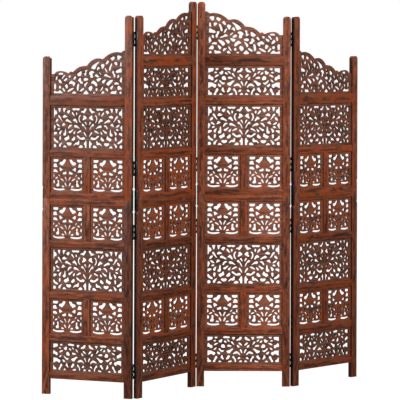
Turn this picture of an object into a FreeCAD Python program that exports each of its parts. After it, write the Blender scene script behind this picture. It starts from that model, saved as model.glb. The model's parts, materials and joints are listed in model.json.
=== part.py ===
import FreeCAD, Part
import math
import os
import re
import Sketcher

# Carved four-panel folding screen in solid wood. Each panel is a frame of two upper and two lower
# stiles, tenoned rails and muntins, with pierced boards held in grooves. The halves meet at a seam
# and are joined by steel plates. Butt hinges join the panels, alternately at the back and the front.
# Every panel is built in its own frame: X across from the left edge, Y from the front face to the
# back, Z up from the floor. Its outer stile, at the low end of the crest, is at the left.

os.makedirs("parts", exist_ok=True)
doc = FreeCAD.newDocument("carved_jali_screen")

# Driving dimensions in millimetres and degrees
sheet = doc.addObject("Spreadsheet::Sheet", "Sizes")
SIZES = (
    ("panel_width", 400),
    ("panel_thickness", 20),
    ("stile_width", 33),
    ("low_post_rise", 74.2),
    ("middle_post_rise", 79.2),
    ("tall_post_rise", 40),
    ("post_chamfer", 7.5),
    ("seam_height", 821),
    ("seam_rail_height", 25.5),
    ("rail_height", 27.5),
    ("bottom_rail_height", 25.5),
    ("crest_rail_height", 41),
    ("small_opening_height", 150.5),
    ("big_opening_height", 187),
    ("short_opening_height", 139),
    ("base_opening_height", 133.5),
    ("muntin_width", 26),
    ("crest_height", 191),
    ("board_thickness", 7),
    ("side_margin", 13),
    ("end_margin", 11.5),
    ("groove_depth", 5),
    ("plate_length", 88),
    ("plate_width", 14),
    ("plate_thickness", 2),
    ("plate_recess_depth", 2.5),
    ("plate_recess_slope", 9),
    ("hinge_height", 60),
    ("barrel_radius", 2.2),
    ("pin_radius", 1.1),
    ("pin_play", 0.05),
    ("knuckle_play", 0.4),
    ("leaf_play", 0.3),
    ("leaf_width", 16),
    ("leaf_thickness", 0.9),
    ("half_gap", 1),
    ("low_hinge_height", 111),
    ("seam_hinge_distance", 132),
    ("side_hinge_drop", 98),
    ("centre_hinge_drop", 132),
    ("first_panel_angle", -19.1),
    ("second_panel_angle", 52.7),
    ("third_panel_angle", 0),
    ("fourth_panel_angle", 43.2),
)
for number, (alias, value) in enumerate(SIZES, start=1):
    sheet.set("A%d" % number, alias)
    sheet.set("B%d" % number, str(value))
    sheet.setAlias("B%d" % number, alias)
doc.recompute()


def size(alias):
    return float(sheet.get(alias))


def bind(thing, prop, formula):
    """Set a property by a formula in the sheet's aliases."""
    in_sheet = re.sub(r"[a-z]+(_[a-z]+)+", lambda word: "Sizes." + word.group(0), formula)
    thing.setExpression(prop, in_sheet)


# Formulas that several pieces share
OPENING_WIDTH = "(panel_width - 2 * stile_width)"
SMALL_OPENING_WIDTH = "((panel_width - 2 * stile_width - muntin_width) / 2)"
GROOVE_FRONT = "(panel_thickness - board_thickness) / 2"

# Heights of the two ends of the crest's outline, as shares of crest_height
CREST_LOW_SHARE = 0.47
CREST_HIGH_SHARE = 1.0

# Rows of a panel, from the seam upwards and from the seam downwards: rails and openings in turn
SIDE_UPPER_ROWS = ("seam_rail_height", "small_opening_height", "rail_height", "big_opening_height",
                   "crest_rail_height")
CENTRE_UPPER_ROWS = ("seam_rail_height", "small_opening_height", "rail_height", "big_opening_height",
                     "rail_height", "short_opening_height", "crest_rail_height")
LOWER_ROWS = ("seam_rail_height", "small_opening_height", "rail_height", "big_opening_height",
              "rail_height", "small_opening_height", "rail_height", "base_opening_height",
              "bottom_rail_height")


def levels(rows, direction):
    """Name and the formula of the lower edge of each row, counted from the seam."""
    found = []
    edge = "seam_height"
    for row in rows:
        if direction > 0:
            found.append((row, edge))
            edge = edge + " + " + row
        else:
            edge = edge + " - " + row
            found.append((row, edge))
    return found


def crest_level(rows):
    return "seam_height + " + " + ".join(rows)


# Heights of the posts. Each rises past the end of the crest that it carries.
LOW_POST = crest_level(SIDE_UPPER_ROWS) + " + crest_height * %s + low_post_rise" % CREST_LOW_SHARE
MIDDLE_POST = crest_level(CENTRE_UPPER_ROWS) + " + crest_height * %s + middle_post_rise" % CREST_LOW_SHARE
TALL_POST = crest_level(CENTRE_UPPER_ROWS) + " + crest_height * %s + tall_post_rise" % CREST_HIGH_SHARE


# Features of the pieces
def new_body(name):
    body = doc.addObject("PartDesign::Body", name)
    body.Label = name
    return body


def block(body, kind, name, corner, extent):
    """An additive or subtractive box, all six values given as formulas."""
    box = body.newObject("PartDesign::" + kind + "Box", name)
    for prop, formula in zip(("Length", "Width", "Height"), extent):
        bind(box, prop, formula)
    for axis, formula in zip("xyz", corner):
        bind(box, "Placement.Base." + axis, formula)
    return box


def bar(body, kind, name, sides, reach, base, height):
    """An upright additive or subtractive bar of some flat sides about the body's own axis."""
    prism = body.newObject("PartDesign::" + kind + "Prism", name)
    prism.Polygon = sides
    bind(prism, "Circumradius", reach)
    bind(prism, "Height", height)
    bind(prism, "Placement.Base.z", base)
    return prism


def plane_of(body, role):
    return [plane for plane in body.Origin.OriginFeatures if plane.Role == role][0]


def outline_sketch(body, name, corners):
    """A closed outline in the XZ plane, each corner placed by two formulas."""
    sketch = body.newObject("Sketcher::SketchObject", name)
    sketch.AttachmentSupport = [(plane_of(body, "XZ_Plane"), "")]
    sketch.MapMode = "FlatFace"
    count = len(corners)
    spread = size("stile_width")
    rough = []
    for number in range(count):
        turn = math.tau * number / count
        rough.append(FreeCAD.Vector(spread * math.cos(turn), spread * math.sin(turn), 0))
    for number in range(count):
        sketch.addGeometry(Part.LineSegment(rough[number], rough[(number + 1) % count]), False)
    for number in range(count):
        after = (number + 1) % count
        sketch.addConstraint(Sketcher.Constraint("Coincident", number, 2, after, 1))
    for number, (across, up) in enumerate(corners):
        for kind, formula, place in (("DistanceX", across, rough[number].x), ("DistanceY", up, rough[number].y)):
            made = sketch.addConstraint(Sketcher.Constraint(kind, -1, 1, number, 1, place))
            bind(sketch, "Constraints[%d]" % made, formula)
    return sketch


def cut_through(body, name, sketch):
    """A pocket of the sketch through the body's whole thickness."""
    pocket = body.newObject("PartDesign::Pocket", name)
    pocket.Profile = sketch
    pocket.Type = "ThroughAll"
    pocket.Midplane = True
    return pocket


# Stiles
def plate_recess(body, seam, far):
    """The shallow scooped seat of a joining plate, half of it on each side of the seam."""
    mouth = seam + " " + far + " (plate_length / 2 + plate_recess_slope)"
    floor = seam + " " + far + " plate_length / 2"
    corners = (("0", seam), ("plate_recess_depth", seam), ("plate_recess_depth", floor), ("0", mouth))
    cut_through(body, "plate_recess", outline_sketch(body, "plate_recess_outline", corners))


def board_groove(body, base, top):
    """The groove along the inner edge that holds the boards and the rails' stub tenons."""
    block(body, "Subtractive", "groove", ("stile_width - groove_depth", GROOVE_FRONT, base),
          ("groove_depth", "board_thickness", top + " - (" + base + ")"))


def chamfer_top(body):
    """Take off the two top corners of a post."""
    doc.recompute()
    tip = body.Tip
    height = tip.Shape.BoundBox.ZMax
    names = []
    for number, edge in enumerate(tip.Shape.Edges, start=1):
        level = all(abs(vertex.Z - height) < tip.Shape.getTolerance(1) for vertex in edge.Vertexes)
        if level and edge.BoundBox.YLength > edge.BoundBox.XLength:
            names.append("Edge%d" % number)
    chamfer = body.newObject("PartDesign::Chamfer", "chamfered_corners")
    chamfer.Base = (tip, names)
    bind(chamfer, "Size", "post_chamfer")


def upper_stile(name, post_height, rows, crest_share):
    body = new_body(name)
    block(body, "Additive", "blank", ("0", "0", "seam_height"),
          ("stile_width", "panel_thickness", post_height + " - seam_height"))
    board_groove(body, "seam_height", crest_level(rows) + " + crest_height * %s" % crest_share)
    plate_recess(body, "seam_height", "+")
    chamfer_top(body)
    return body


def lower_stile(name):
    body = new_body(name)
    block(body, "Additive", "blank", ("0", "0", "0"), ("stile_width", "panel_thickness", "seam_height"))
    board_groove(body, levels(LOWER_ROWS, -1)[-1][1] + " + groove_depth", "seam_height")
    plate_recess(body, "seam_height", "-")
    return body


# Rails and muntins
def rail_form(name, height, grooves):
    """A rail with a stub tenon at each end and a groove along each edge that holds a board."""
    body = new_body(name)
    block(body, "Additive", "rail", ("0", "0", "0"), (OPENING_WIDTH, "panel_thickness", height))
    block(body, "Additive", "tenons", ("-groove_depth", GROOVE_FRONT, "groove_depth"),
          (OPENING_WIDTH + " + 2 * groove_depth", "board_thickness", height + " - 2 * groove_depth"))
    for edge in grooves:
        base = {"bottom": "0", "top": height + " - groove_depth"}[edge]
        block(body, "Subtractive", "groove", ("0", GROOVE_FRONT, base),
              (OPENING_WIDTH, "board_thickness", "groove_depth"))
    return body


def muntin_form():
    """The upright between two small boards, with a stub tongue in the groove of each rail."""
    body = new_body("muntin_form")
    block(body, "Additive", "upright", ("0", "0", "0"),
          ("muntin_width", "panel_thickness", "small_opening_height"))
    block(body, "Additive", "tongue", ("groove_depth", GROOVE_FRONT, "-groove_depth"),
          ("muntin_width - 2 * groove_depth", "board_thickness", "small_opening_height + 2 * groove_depth"))
    for across in ("0", "muntin_width - groove_depth"):
        block(body, "Subtractive", "groove", (across, GROOVE_FRONT, "0"),
              ("groove_depth", "board_thickness", "small_opening_height"))
    return body


# Pierced boards. The voids' corners are shares of half the carved field's width and height,
# measured from the field's middle, and the right half is mirrored to the left.
SMALL_VOID_SHARES = (
    ((0.72, 0.47), (1.00, 0.47), (1.00, 0.66), (0.84, 0.71)),
    ((0.11, 0.98), (0.36, 0.54), (0.60, 0.75), (0.33, 0.97)),
    ((0.59, -0.36), (0.58, -0.78), (0.82, -0.77), (0.73, -0.36)),
)
BIG_VOID_SHARES = (
    ((0.90, 0.60), (1.00, 0.52), (1.00, 0.98), (0.91, 0.84)),
    ((0.24, 0.99), (0.46, 0.99), (0.44, 0.91), (0.28, 0.90)),
    ((0.04, 0.96), (0.11, 0.98), (0.21, 0.82), (0.09, 0.78)),
    ((0.03, 0.50), (0.16, 0.42), (0.13, 0.66)),
    ((0.63, -0.05), (0.73, -0.34), (0.64, -0.38)),
    ((0.08, -0.52), (0.19, -0.61), (0.33, -0.41), (0.19, -0.45)),
    ((0.54, -0.56), (0.63, -0.66), (0.70, -0.56), (0.56, -0.38)),
    ((0.46, -0.80), (0.53, -0.75), (0.63, -0.79), (0.56, -0.90)),
    ((0.04, -0.99), (0.04, -0.70), (0.12, -0.82), (0.10, -0.99)),
)
SHORT_VOID_SHARES = (
    ((0.85, 0.80), (1.00, 0.68), (1.00, 1.00), (0.85, 1.00)),
    ((0.86, 0.12), (1.00, 0.22), (0.97, 0.55)),
    ((0.78, -0.38), (1.00, -0.50), (1.00, -0.07), (0.86, -0.12)),
    ((0.26, 0.08), (0.38, -0.32), (0.47, -0.12)),
    ((0.03, 0.95), (0.12, 0.70), (0.20, 0.72), (0.10, 0.98)),
)
# The crest's outline: shares of half the opening's width, and of crest_height above the crest rail.
# Each stretch is an arc through a middle point, drawn with facets, or a line where it has none.
FACETS = 4
CREST_OUTLINE_SHARES = (
    (None, (-0.90, 0.48)),
    ((-0.73, 0.54), (-0.515, 0.495)),
    ((-0.46, 0.53), (-0.40, 0.515)),
    ((-0.25, 0.62), (-0.02, 0.66)),
    ((0.15, 0.80), (0.405, 0.805)),
    ((0.57, 0.915), (0.90, 0.955)),
    ((0.93, 0.985), (1.00, 1.00)),
)
# The crest's voids: shares of half the opening's width, and of crest_height above the crest rail
CREST_VOID_SHARES = (
    ((-0.92, 0.05), (-0.68, 0.05), (-0.75, 0.12), (-0.89, 0.10)),
    ((-0.52, 0.27), (-0.35, 0.22), (-0.40, 0.33)),
    ((-0.30, 0.43), (-0.17, 0.45), (-0.17, 0.54)),
    ((0.06, 0.40), (0.13, 0.41), (0.17, 0.53), (0.04, 0.50)),
    ((0.07, 0.59), (0.20, 0.59), (0.31, 0.75), (0.14, 0.70)),
    ((0.07, 0.29), (0.20, 0.22), (0.25, 0.23), (0.15, 0.34)),
    ((0.49, 0.26), (0.55, 0.22), (0.67, 0.36), (0.54, 0.32)),
    ((0.56, 0.56), (0.61, 0.55), (0.65, 0.72)),
    ((0.73, 0.53), (0.90, 0.52), (0.90, 0.61)),
    ((0.60, 0.06), (0.76, 0.06), (0.77, 0.13), (0.62, 0.11)),
)


def mirrored(shares):
    """The outlines and their mirror images across the middle."""
    both = []
    for outline in shares:
        both.append(outline)
        both.append([(-across, up) for across, up in outline])
    return both


def board_form(name, outer_edges, voids):
    """A board padded from one sketch that holds its outline and its voids, middled in the groove."""
    body = new_body(name)
    sketch = body.newObject("Sketcher::SketchObject", name + "_outline")
    sketch.AttachmentSupport = [(plane_of(body, "XZ_Plane"), "")]
    sketch.MapMode = "FlatFace"
    for edge in outer_edges:
        sketch.addGeometry(edge, False)
    for void in voids:
        for start, end in zip(void, void[1:] + void[:1]):
            sketch.addGeometry(Part.LineSegment(start, end), False)
    pad = body.newObject("PartDesign::Pad", name + "_pad")
    pad.Profile = sketch
    bind(pad, "Length", "board_thickness")
    pad.Reversed = True
    return body


def segments(points):
    return [Part.LineSegment(start, end) for start, end in zip(points, points[1:] + points[:1])]


def plain_board(name, opening_width, opening_height, shares):
    """A rectangular board whose edges fill the grooves round its opening."""
    edge = size("groove_depth")
    low_x = -edge
    high_x = opening_width + edge
    low_z = -edge
    high_z = opening_height + edge
    outer = segments([FreeCAD.Vector(x, z, 0) for x, z in
                      ((low_x, low_z), (high_x, low_z), (high_x, high_z), (low_x, high_z))])
    middle_x = opening_width / 2
    middle_z = opening_height / 2
    reach_x = middle_x - size("side_margin")
    reach_z = middle_z - size("end_margin")
    voids = []
    for outline in mirrored(shares):
        voids.append([FreeCAD.Vector(middle_x + across * reach_x, middle_z + up * reach_z, 0)
                      for across, up in outline])
    return board_form(name, outer, voids)


def crest_board_form(opening_width):
    """The crest board, low at the left, with its scalloped upper outline."""
    edge = size("groove_depth")
    height = size("crest_height")
    middle = opening_width / 2

    def place(share):
        return FreeCAD.Vector(middle + share[0] * middle, share[1] * height, 0)

    low = FreeCAD.Vector(0, CREST_LOW_SHARE * height, 0)
    outer = []
    here = low
    for through, end in CREST_OUTLINE_SHARES:
        there = place(end)
        stretch = [here, there]
        if through:
            stretch = Part.Arc(here, place(through), there).discretize(FACETS + 1)
        outer += [Part.LineSegment(start, end) for start, end in zip(stretch, stretch[1:])]
        here = there
    rest = [here, FreeCAD.Vector(opening_width + edge, here.y, 0), FreeCAD.Vector(opening_width + edge, -edge, 0),
            FreeCAD.Vector(-edge, -edge, 0), FreeCAD.Vector(-edge, low.y, 0), low]
    outer += [Part.LineSegment(start, end) for start, end in zip(rest, rest[1:])]
    voids = [[place(share) for share in outline] for outline in CREST_VOID_SHARES]
    return board_form("crest_form", outer, voids)


# Metal pieces. A hinge's axis is the Z axis of its forms. A leaf lies on the edge of the stile at
# its side, and reaches from the barrel into the thickness of the panel.
def leaf_form(name, side, knuckles):
    """A leaf with its knuckles. Necks join them past the room of the other leaf's knuckles."""
    body = new_body(name)
    across = {"left": "-half_gap", "right": "half_gap - leaf_thickness"}[side]
    edge = "barrel_radius + leaf_play"
    block(body, "Additive", "leaf", (across, edge, "0"),
          ("leaf_thickness", "leaf_width - leaf_play", "hinge_height"))
    for base, height in knuckles:
        block(body, "Additive", "neck", (across, "0", base), ("leaf_thickness", edge, height))
        bar(body, "Additive", "knuckle", BARREL_SIDES, "barrel_radius", base, height)
    bar(body, "Subtractive", "bore", PIN_SIDES, BORE_REACH, "0", "hinge_height")
    return body


# The barrel and the pin are drawn with flat sides. The pin turns free inside the flats of its bore.
BARREL_SIDES = 8
PIN_SIDES = 6
BORE_REACH = "(pin_radius + pin_play) / cos(pi * 1 rad / %d)" % PIN_SIDES

# Three knuckles share the barrel's height. The leaf of the outer two carries the pin.
END_KNUCKLE = "hinge_height / 3 - knuckle_play / 2"
MIDDLE_BASE = "hinge_height / 3 + knuckle_play / 2"
pin_leaf = leaf_form("pin_leaf_form", "left",
                     (("0", END_KNUCKLE), ("hinge_height - (" + END_KNUCKLE + ")", END_KNUCKLE)))
middle_leaf = leaf_form("middle_leaf_form", "right",
                        ((MIDDLE_BASE, "hinge_height - 2 * (" + MIDDLE_BASE + ")"),))

pin = new_body("pin_form")
bar(pin, "Additive", "pin", PIN_SIDES, "pin_radius", "0", "hinge_height")

# A steel plate lies flat in its recess, with half of its length on each side of the seam
plate = new_body("plate_form")
block(plate, "Additive", "plate",
      ("plate_recess_depth - plate_thickness", "(panel_thickness - plate_width) / 2",
       "seam_height - plate_length / 2"),
      ("plate_thickness", "plate_width", "plate_length"))

opening = size("panel_width") - 2 * size("stile_width")
small_opening = (opening - size("muntin_width")) / 2
bottom_rail = rail_form("bottom_rail_form", "bottom_rail_height", ("top",))
seam_rail_below = rail_form("seam_rail_below_form", "seam_rail_height", ("bottom",))
seam_rail_above = rail_form("seam_rail_above_form", "seam_rail_height", ("top",))
rail = rail_form("rail_form", "rail_height", ("bottom", "top"))
crest_rail = rail_form("crest_rail_form", "crest_rail_height", ("bottom", "top"))
muntin = muntin_form()
small_board = plain_board("small_board_form", small_opening, size("small_opening_height"), SMALL_VOID_SHARES)
big_board = plain_board("big_board_form", opening, size("big_opening_height"), BIG_VOID_SHARES)
short_board = plain_board("short_board_form", opening, size("short_opening_height"), SHORT_VOID_SHARES)
base_board = plain_board("base_board_form", opening, size("base_opening_height"), SHORT_VOID_SHARES)
crest_board = crest_board_form(opening)
foot_stile = lower_stile("foot_stile_form")
side_stiles = (upper_stile("side_low_stile_form", LOW_POST, SIDE_UPPER_ROWS, CREST_LOW_SHARE),
               upper_stile("side_high_stile_form", MIDDLE_POST, SIDE_UPPER_ROWS, CREST_HIGH_SHARE))
centre_stiles = (upper_stile("centre_low_stile_form", MIDDLE_POST, CENTRE_UPPER_ROWS, CREST_LOW_SHARE),
                 upper_stile("centre_high_stile_form", TALL_POST, CENTRE_UPPER_ROWS, CREST_HIGH_SHARE))

# Placing. A node holds the copies of the forms that it is made of, in its panel's frame.
UP = FreeCAD.Vector(0, 0, 1)
HALF_TURN = FreeCAD.Rotation(UP, 180)
nodes = []


def copy_of(form, place, turned=False):
    """A copy of a form, its place given by three formulas, turned half round an upright or not."""
    link = doc.addObject("App::Link", form.Label.replace("form", "copy"))
    link.LinkedObject = form
    if turned:
        link.Placement.Rotation = HALF_TURN
    for axis, formula in zip("xyz", place):
        bind(link, "Placement.Base." + axis, formula)
    return link


def add_node(name, place, copies):
    compound = doc.addObject("Part::Compound", name)
    compound.Label = name
    compound.Links = copies
    compound.Placement = place
    nodes.append(compound)


def at_left(form):
    return copy_of(form, ("0", "0", "0"))


def at_right(form):
    return copy_of(form, ("panel_width", "panel_thickness", "0"), True)


def row_copies(rows, direction, wanted):
    """Copies of the forms that a panel has in the named rows, counted from the seam."""
    copies = []
    for row, base in levels(rows, direction):
        for form, across, depth in wanted.get(row, ()):
            copies.append(copy_of(form, (across, depth, base)))
    return copies


RAILS = {"rail_height": ((rail, "stile_width", "0"),),
         "crest_rail_height": ((crest_rail, "stile_width", "0"),),
         "bottom_rail_height": ((bottom_rail, "stile_width", "0"),)}
RAILS_ABOVE = dict(RAILS, seam_rail_height=((seam_rail_above, "stile_width", "0"),))
RAILS_BELOW = dict(RAILS, seam_rail_height=((seam_rail_below, "stile_width", "0"),))
MUNTIN_EDGE = "stile_width + " + SMALL_OPENING_WIDTH
MUNTINS = {"small_opening_height": ((muntin, MUNTIN_EDGE, "0"),)}
SMALL_BOARDS = {"small_opening_height": ((small_board, "stile_width", GROOVE_FRONT),
                                         (small_board, MUNTIN_EDGE + " + muntin_width", GROOVE_FRONT))}
BIG_BOARDS = {"big_opening_height": ((big_board, "stile_width", GROOVE_FRONT),)}
SHORT_BOARDS = {"short_opening_height": ((short_board, "stile_width", GROOVE_FRONT),),
                "base_opening_height": ((base_board, "stile_width", GROOVE_FRONT),)}


def add_panel(name, place, upper_rows, upper_stiles):
    """The wooden pieces and the plates of one panel."""
    for level, outer, inner in (("upper", upper_stiles[0], upper_stiles[1]), ("lower", foot_stile, foot_stile)):
        add_node(name + "_" + level + "_outer_stile", place, [at_left(outer)])
        add_node(name + "_" + level + "_inner_stile", place, [at_right(inner)])
    add_node(name + "_upper_rails", place, row_copies(upper_rows, 1, RAILS_ABOVE))
    add_node(name + "_lower_rails", place, row_copies(LOWER_ROWS, -1, RAILS_BELOW))
    for kind, wanted in (("muntins", MUNTINS), ("small_boards", SMALL_BOARDS), ("big_boards", BIG_BOARDS),
                         ("short_boards", SHORT_BOARDS)):
        copies = row_copies(upper_rows, 1, wanted) + row_copies(LOWER_ROWS, -1, wanted)
        add_node(name + "_" + kind, place, copies)
    crest_place = ("stile_width", GROOVE_FRONT, crest_level(upper_rows))
    add_node(name + "_crest_board", place, [copy_of(crest_board, crest_place)])
    add_node(name + "_joining_plates", place, [at_left(plate), at_right(plate)])


def hinge_levels(post_height, drop):
    """Lower ends of a joint's four hinges."""
    middles = ("low_hinge_height", "seam_height - seam_hinge_distance", "seam_height + seam_hinge_distance",
               post_height + " - " + drop)
    return [middle + " - hinge_height / 2" for middle in middles]


def add_hinges(name, bases, at_back, left_place, right_place):
    """The hinges between two panels, their barrels behind the panels or in front of them."""
    depth = "panel_thickness + barrel_radius" if at_back else "-barrel_radius"
    left_form, right_form = (middle_leaf, pin_leaf) if at_back else (pin_leaf, middle_leaf)
    pin_place, pin_across = (right_place, "-half_gap") if at_back else (left_place, "panel_width + half_gap")
    left = [copy_of(left_form, ("panel_width + half_gap", depth, base), at_back) for base in bases]
    right = [copy_of(right_form, ("-half_gap", depth, base), at_back) for base in bases]
    add_node(name + "_left_leaves", left_place, left)
    add_node(name + "_right_leaves", right_place, right)
    add_node(name + "_pins", pin_place, [copy_of(pin, (pin_across, depth, base)) for base in bases])


# Plan of the zigzag. The axes of the hinges stand beside the panels' edges, in front or behind.
left_axis = -size("half_gap")
right_axis = size("panel_width") + size("half_gap")
front_axis = -size("barrel_radius")
back_axis = size("panel_thickness") + size("barrel_radius")


def turned_about(turn, local, world):
    """The placement that turns a panel in plan and puts a point of it on a point of the floor."""
    rotation = FreeCAD.Rotation(UP, size(turn))
    return FreeCAD.Placement(world - rotation.multVec(local), rotation)


second = turned_about("second_panel_angle", FreeCAD.Vector(right_axis, front_axis, 0), FreeCAD.Vector())
third = turned_about("third_panel_angle", FreeCAD.Vector(left_axis, front_axis, 0), FreeCAD.Vector())
first_axis = second.multVec(FreeCAD.Vector(left_axis, back_axis, 0))
first = turned_about("first_panel_angle", FreeCAD.Vector(right_axis, back_axis, 0), first_axis)
last_axis = third.multVec(FreeCAD.Vector(right_axis, back_axis, 0))
fourth = turned_about("fourth_panel_angle", FreeCAD.Vector(left_axis, back_axis, 0), last_axis)

# The part's origin is in the middle of the ground that the screen covers
plan = FreeCAD.BoundBox()
for panel in (first, second, third, fourth):
    for across in (0, size("panel_width")):
        for depth in (0, size("panel_thickness")):
            plan.add(panel.multVec(FreeCAD.Vector(across, depth, 0)))
to_middle = FreeCAD.Placement(-plan.Center, FreeCAD.Rotation())
first, second, third, fourth = [to_middle.multiply(panel) for panel in (first, second, third, fourth)]

# The third and fourth panels are the second and first turned half round, back to front
about_face = FreeCAD.Placement(FreeCAD.Vector(size("panel_width"), size("panel_thickness"), 0), HALF_TURN)
add_panel("panel_1", first, SIDE_UPPER_ROWS, side_stiles)
add_panel("panel_2", second, CENTRE_UPPER_ROWS, centre_stiles)
add_panel("panel_3", third.multiply(about_face), CENTRE_UPPER_ROWS, centre_stiles)
add_panel("panel_4", fourth.multiply(about_face), SIDE_UPPER_ROWS, side_stiles)
side_levels = hinge_levels(MIDDLE_POST, "side_hinge_drop")
centre_levels = hinge_levels(TALL_POST, "centre_hinge_drop")
add_hinges("hinges_1_2", side_levels, True, first, second)
add_hinges("hinges_2_3", centre_levels, False, second, third)
add_hinges("hinges_3_4", side_levels, True, third, fourth)
doc.recompute()

# Every object has to be sound before anything is written
for thing in doc.Objects:
    if "Invalid" in thing.State or "Error" in thing.State:
        raise RuntimeError("%s is in state %s" % (thing.Label, thing.State))
for thing in doc.Objects:
    if thing.isDerivedFrom("PartDesign::Feature") and hasattr(thing, "BaseFeature") and thing.BaseFeature:
        change = thing.Shape.Volume - thing.BaseFeature.Shape.Volume
        if not change:
            raise RuntimeError("%s changes nothing" % thing.Label)
for thing in nodes:
    shape = thing.Shape
    if shape.isNull() or not shape.isValid() or len(shape.Solids) != len(thing.Links):
        raise RuntimeError("%s has no sound shape" % thing.Label)
for thing in nodes:
    thing.Shape.exportStep("parts/" + thing.Label + ".step")
print("%d nodes, %d solids" % (len(nodes), sum(len(thing.Shape.Solids) for thing in nodes)))
print("axes of the joints, as X and Y:")
for name, axis in (("1 and 2", first_axis), ("2 and 3", FreeCAD.Vector()), ("3 and 4", last_axis)):
    middle = to_middle.multVec(axis)
    print("%s: %.3f %.3f" % (name, middle.x, middle.y))
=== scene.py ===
import json
import math
import bmesh
import bpy
from mathutils import Matrix, Vector


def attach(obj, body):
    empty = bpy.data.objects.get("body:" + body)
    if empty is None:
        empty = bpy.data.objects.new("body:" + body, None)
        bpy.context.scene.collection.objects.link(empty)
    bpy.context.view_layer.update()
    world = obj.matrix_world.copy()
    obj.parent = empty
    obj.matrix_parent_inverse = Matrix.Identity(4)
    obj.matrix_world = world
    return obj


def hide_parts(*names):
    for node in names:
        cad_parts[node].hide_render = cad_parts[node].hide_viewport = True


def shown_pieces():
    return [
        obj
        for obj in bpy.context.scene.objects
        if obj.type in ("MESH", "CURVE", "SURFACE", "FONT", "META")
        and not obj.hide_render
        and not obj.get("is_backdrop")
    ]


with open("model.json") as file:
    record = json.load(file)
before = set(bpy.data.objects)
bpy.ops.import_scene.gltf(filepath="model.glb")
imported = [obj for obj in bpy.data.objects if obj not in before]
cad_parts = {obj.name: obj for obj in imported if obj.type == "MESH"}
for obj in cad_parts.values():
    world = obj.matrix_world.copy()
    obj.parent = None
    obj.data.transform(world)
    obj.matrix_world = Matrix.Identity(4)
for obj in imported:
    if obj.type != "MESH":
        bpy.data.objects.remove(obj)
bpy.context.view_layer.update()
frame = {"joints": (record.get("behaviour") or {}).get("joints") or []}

# The room: a white studio with a pale floor lit from below. The camera stands 9.4 m in front, level
# and as high as the screen's shoulders, the lens shifted down until the feet are in the picture.
scene = bpy.context.scene
scene.view_settings.view_transform = "Standard"

camera_data = bpy.data.cameras.new("camera")
camera_data.lens = 197.03
camera_data.sensor_width = 36.0
camera_data.shift_y = -0.4274
camera_data.clip_end = 100.0
camera = bpy.data.objects.new("camera", camera_data)
scene.collection.objects.link(camera)
camera.location = (-0.0683, -9.3736, 1.5331)
camera.rotation_euler = (math.radians(90.0), math.radians(-0.196), math.radians(-0.3))
scene.camera = camera


def feed(tree, node, inputs):
    """Set a node's inputs, each to a value or to another node's output."""
    for socket, source in inputs.items():
        if isinstance(source, bpy.types.NodeSocket):
            tree.links.new(source, node.inputs[socket])
        else:
            node.inputs[socket].default_value = source


def add_node(tree, kind, inputs=None, **settings):
    made = tree.nodes.new(kind)
    for setting, value in settings.items():
        setattr(made, setting, value)
    feed(tree, made, inputs or {})
    return made


world = bpy.data.worlds.new("studio_white")
world.use_nodes = True
light_path = add_node(world.node_tree, "ShaderNodeLightPath")
room_light = add_node(world.node_tree, "ShaderNodeMapRange", {
    "Value": light_path.outputs["Is Camera Ray"], "To Min": 0.28, "To Max": 1.0})
feed(world.node_tree, world.node_tree.nodes["Background"], {
    "Color": (1.0, 1.0, 1.0, 1.0), "Strength": room_light.outputs["Result"]})
scene.world = world


def hang_softbox(name, place, aim, width, watts):
    lamp = bpy.data.lights.new(name, "AREA")
    lamp.shape = "SQUARE"
    lamp.size = width
    lamp.energy = watts
    lamp_object = bpy.data.objects.new(name, lamp)
    lamp_object.location = place
    lamp_object.rotation_euler = (Vector(aim) - Vector(place)).to_track_quat("-Z", "Y").to_euler()
    lamp_object.visible_camera = False
    scene.collection.objects.link(lamp_object)


hang_softbox("left_softbox", (-4.35, -3.1, 2.7), (-0.4, 0.0, 0.9), 1.6, 235.0)
hang_softbox("right_softbox", (2.3, -2.5, 2.4), (0.1, 0.0, 1.0), 1.0, 100.0)
hang_softbox("back_softbox", (0.6, 5.2, 3.2), (0.0, 0.0, 0.9), 1.8, 150.0)
skylight = bpy.data.lights.new("skylight", "SUN")
skylight.energy = 2.4
skylight.angle = math.radians(25.0)
scene.collection.objects.link(bpy.data.objects.new("skylight", skylight))

floor_mesh = bpy.data.meshes.new("studio_floor")
floor_mesh.from_pydata([(-40, -40, 0), (40, -40, 0), (40, 60, 0), (-40, 60, 0)], [], [(0, 1, 2, 3)])
floor_paint = bpy.data.materials.new("pale_floor_paint")
floor_paint.use_nodes = True
feed(floor_paint.node_tree, floor_paint.node_tree.nodes["Principled BSDF"], {
    "Base Color": (0.15, 0.15, 0.15, 1.0), "Roughness": 0.9, "Specular IOR Level": 0.0,
    "Emission Color": (1.0, 1.0, 1.0, 1.0), "Emission Strength": 0.87})
floor_mesh.materials.append(floor_paint)
floor = bpy.data.objects.new("studio_floor", floor_mesh)
floor.visible_diffuse = False
floor.visible_glossy = False
scene.collection.objects.link(floor)
floor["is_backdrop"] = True

# The zigzag in plan: four panels 400 mm wide and 20 mm thick. Each turns about the pins of its
# hinges, which stand 2.2 mm off the faces in the middle of a 2 mm gap. Panels 3 and 4 are panels
# 2 and 1 again, turned back to front, so that their low ends are outside too.
PANEL_WIDTH = 0.400
PANEL_THICKNESS = 0.020
HALF_GAP = 0.001
PIN_STAND_OFF = 0.0022
PANEL_TURNS = {1: -19.1, 2: 52.7, 3: 0.0, 4: 43.2}
pins = {joint["name"]: Vector(joint["pos_m"]) for joint in frame["joints"]}


def stand_panel(number, pin, across, depth):
    """The panel's frame: X across from its left edge, Y from its front face back, Z up."""
    turn = Matrix.Rotation(math.radians(PANEL_TURNS[number]), 4, "Z")
    foot = Vector((pin.x, pin.y, 0.0)) - turn @ Vector((across, depth, 0.0))
    return Matrix.Translation(foot) @ turn


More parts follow.
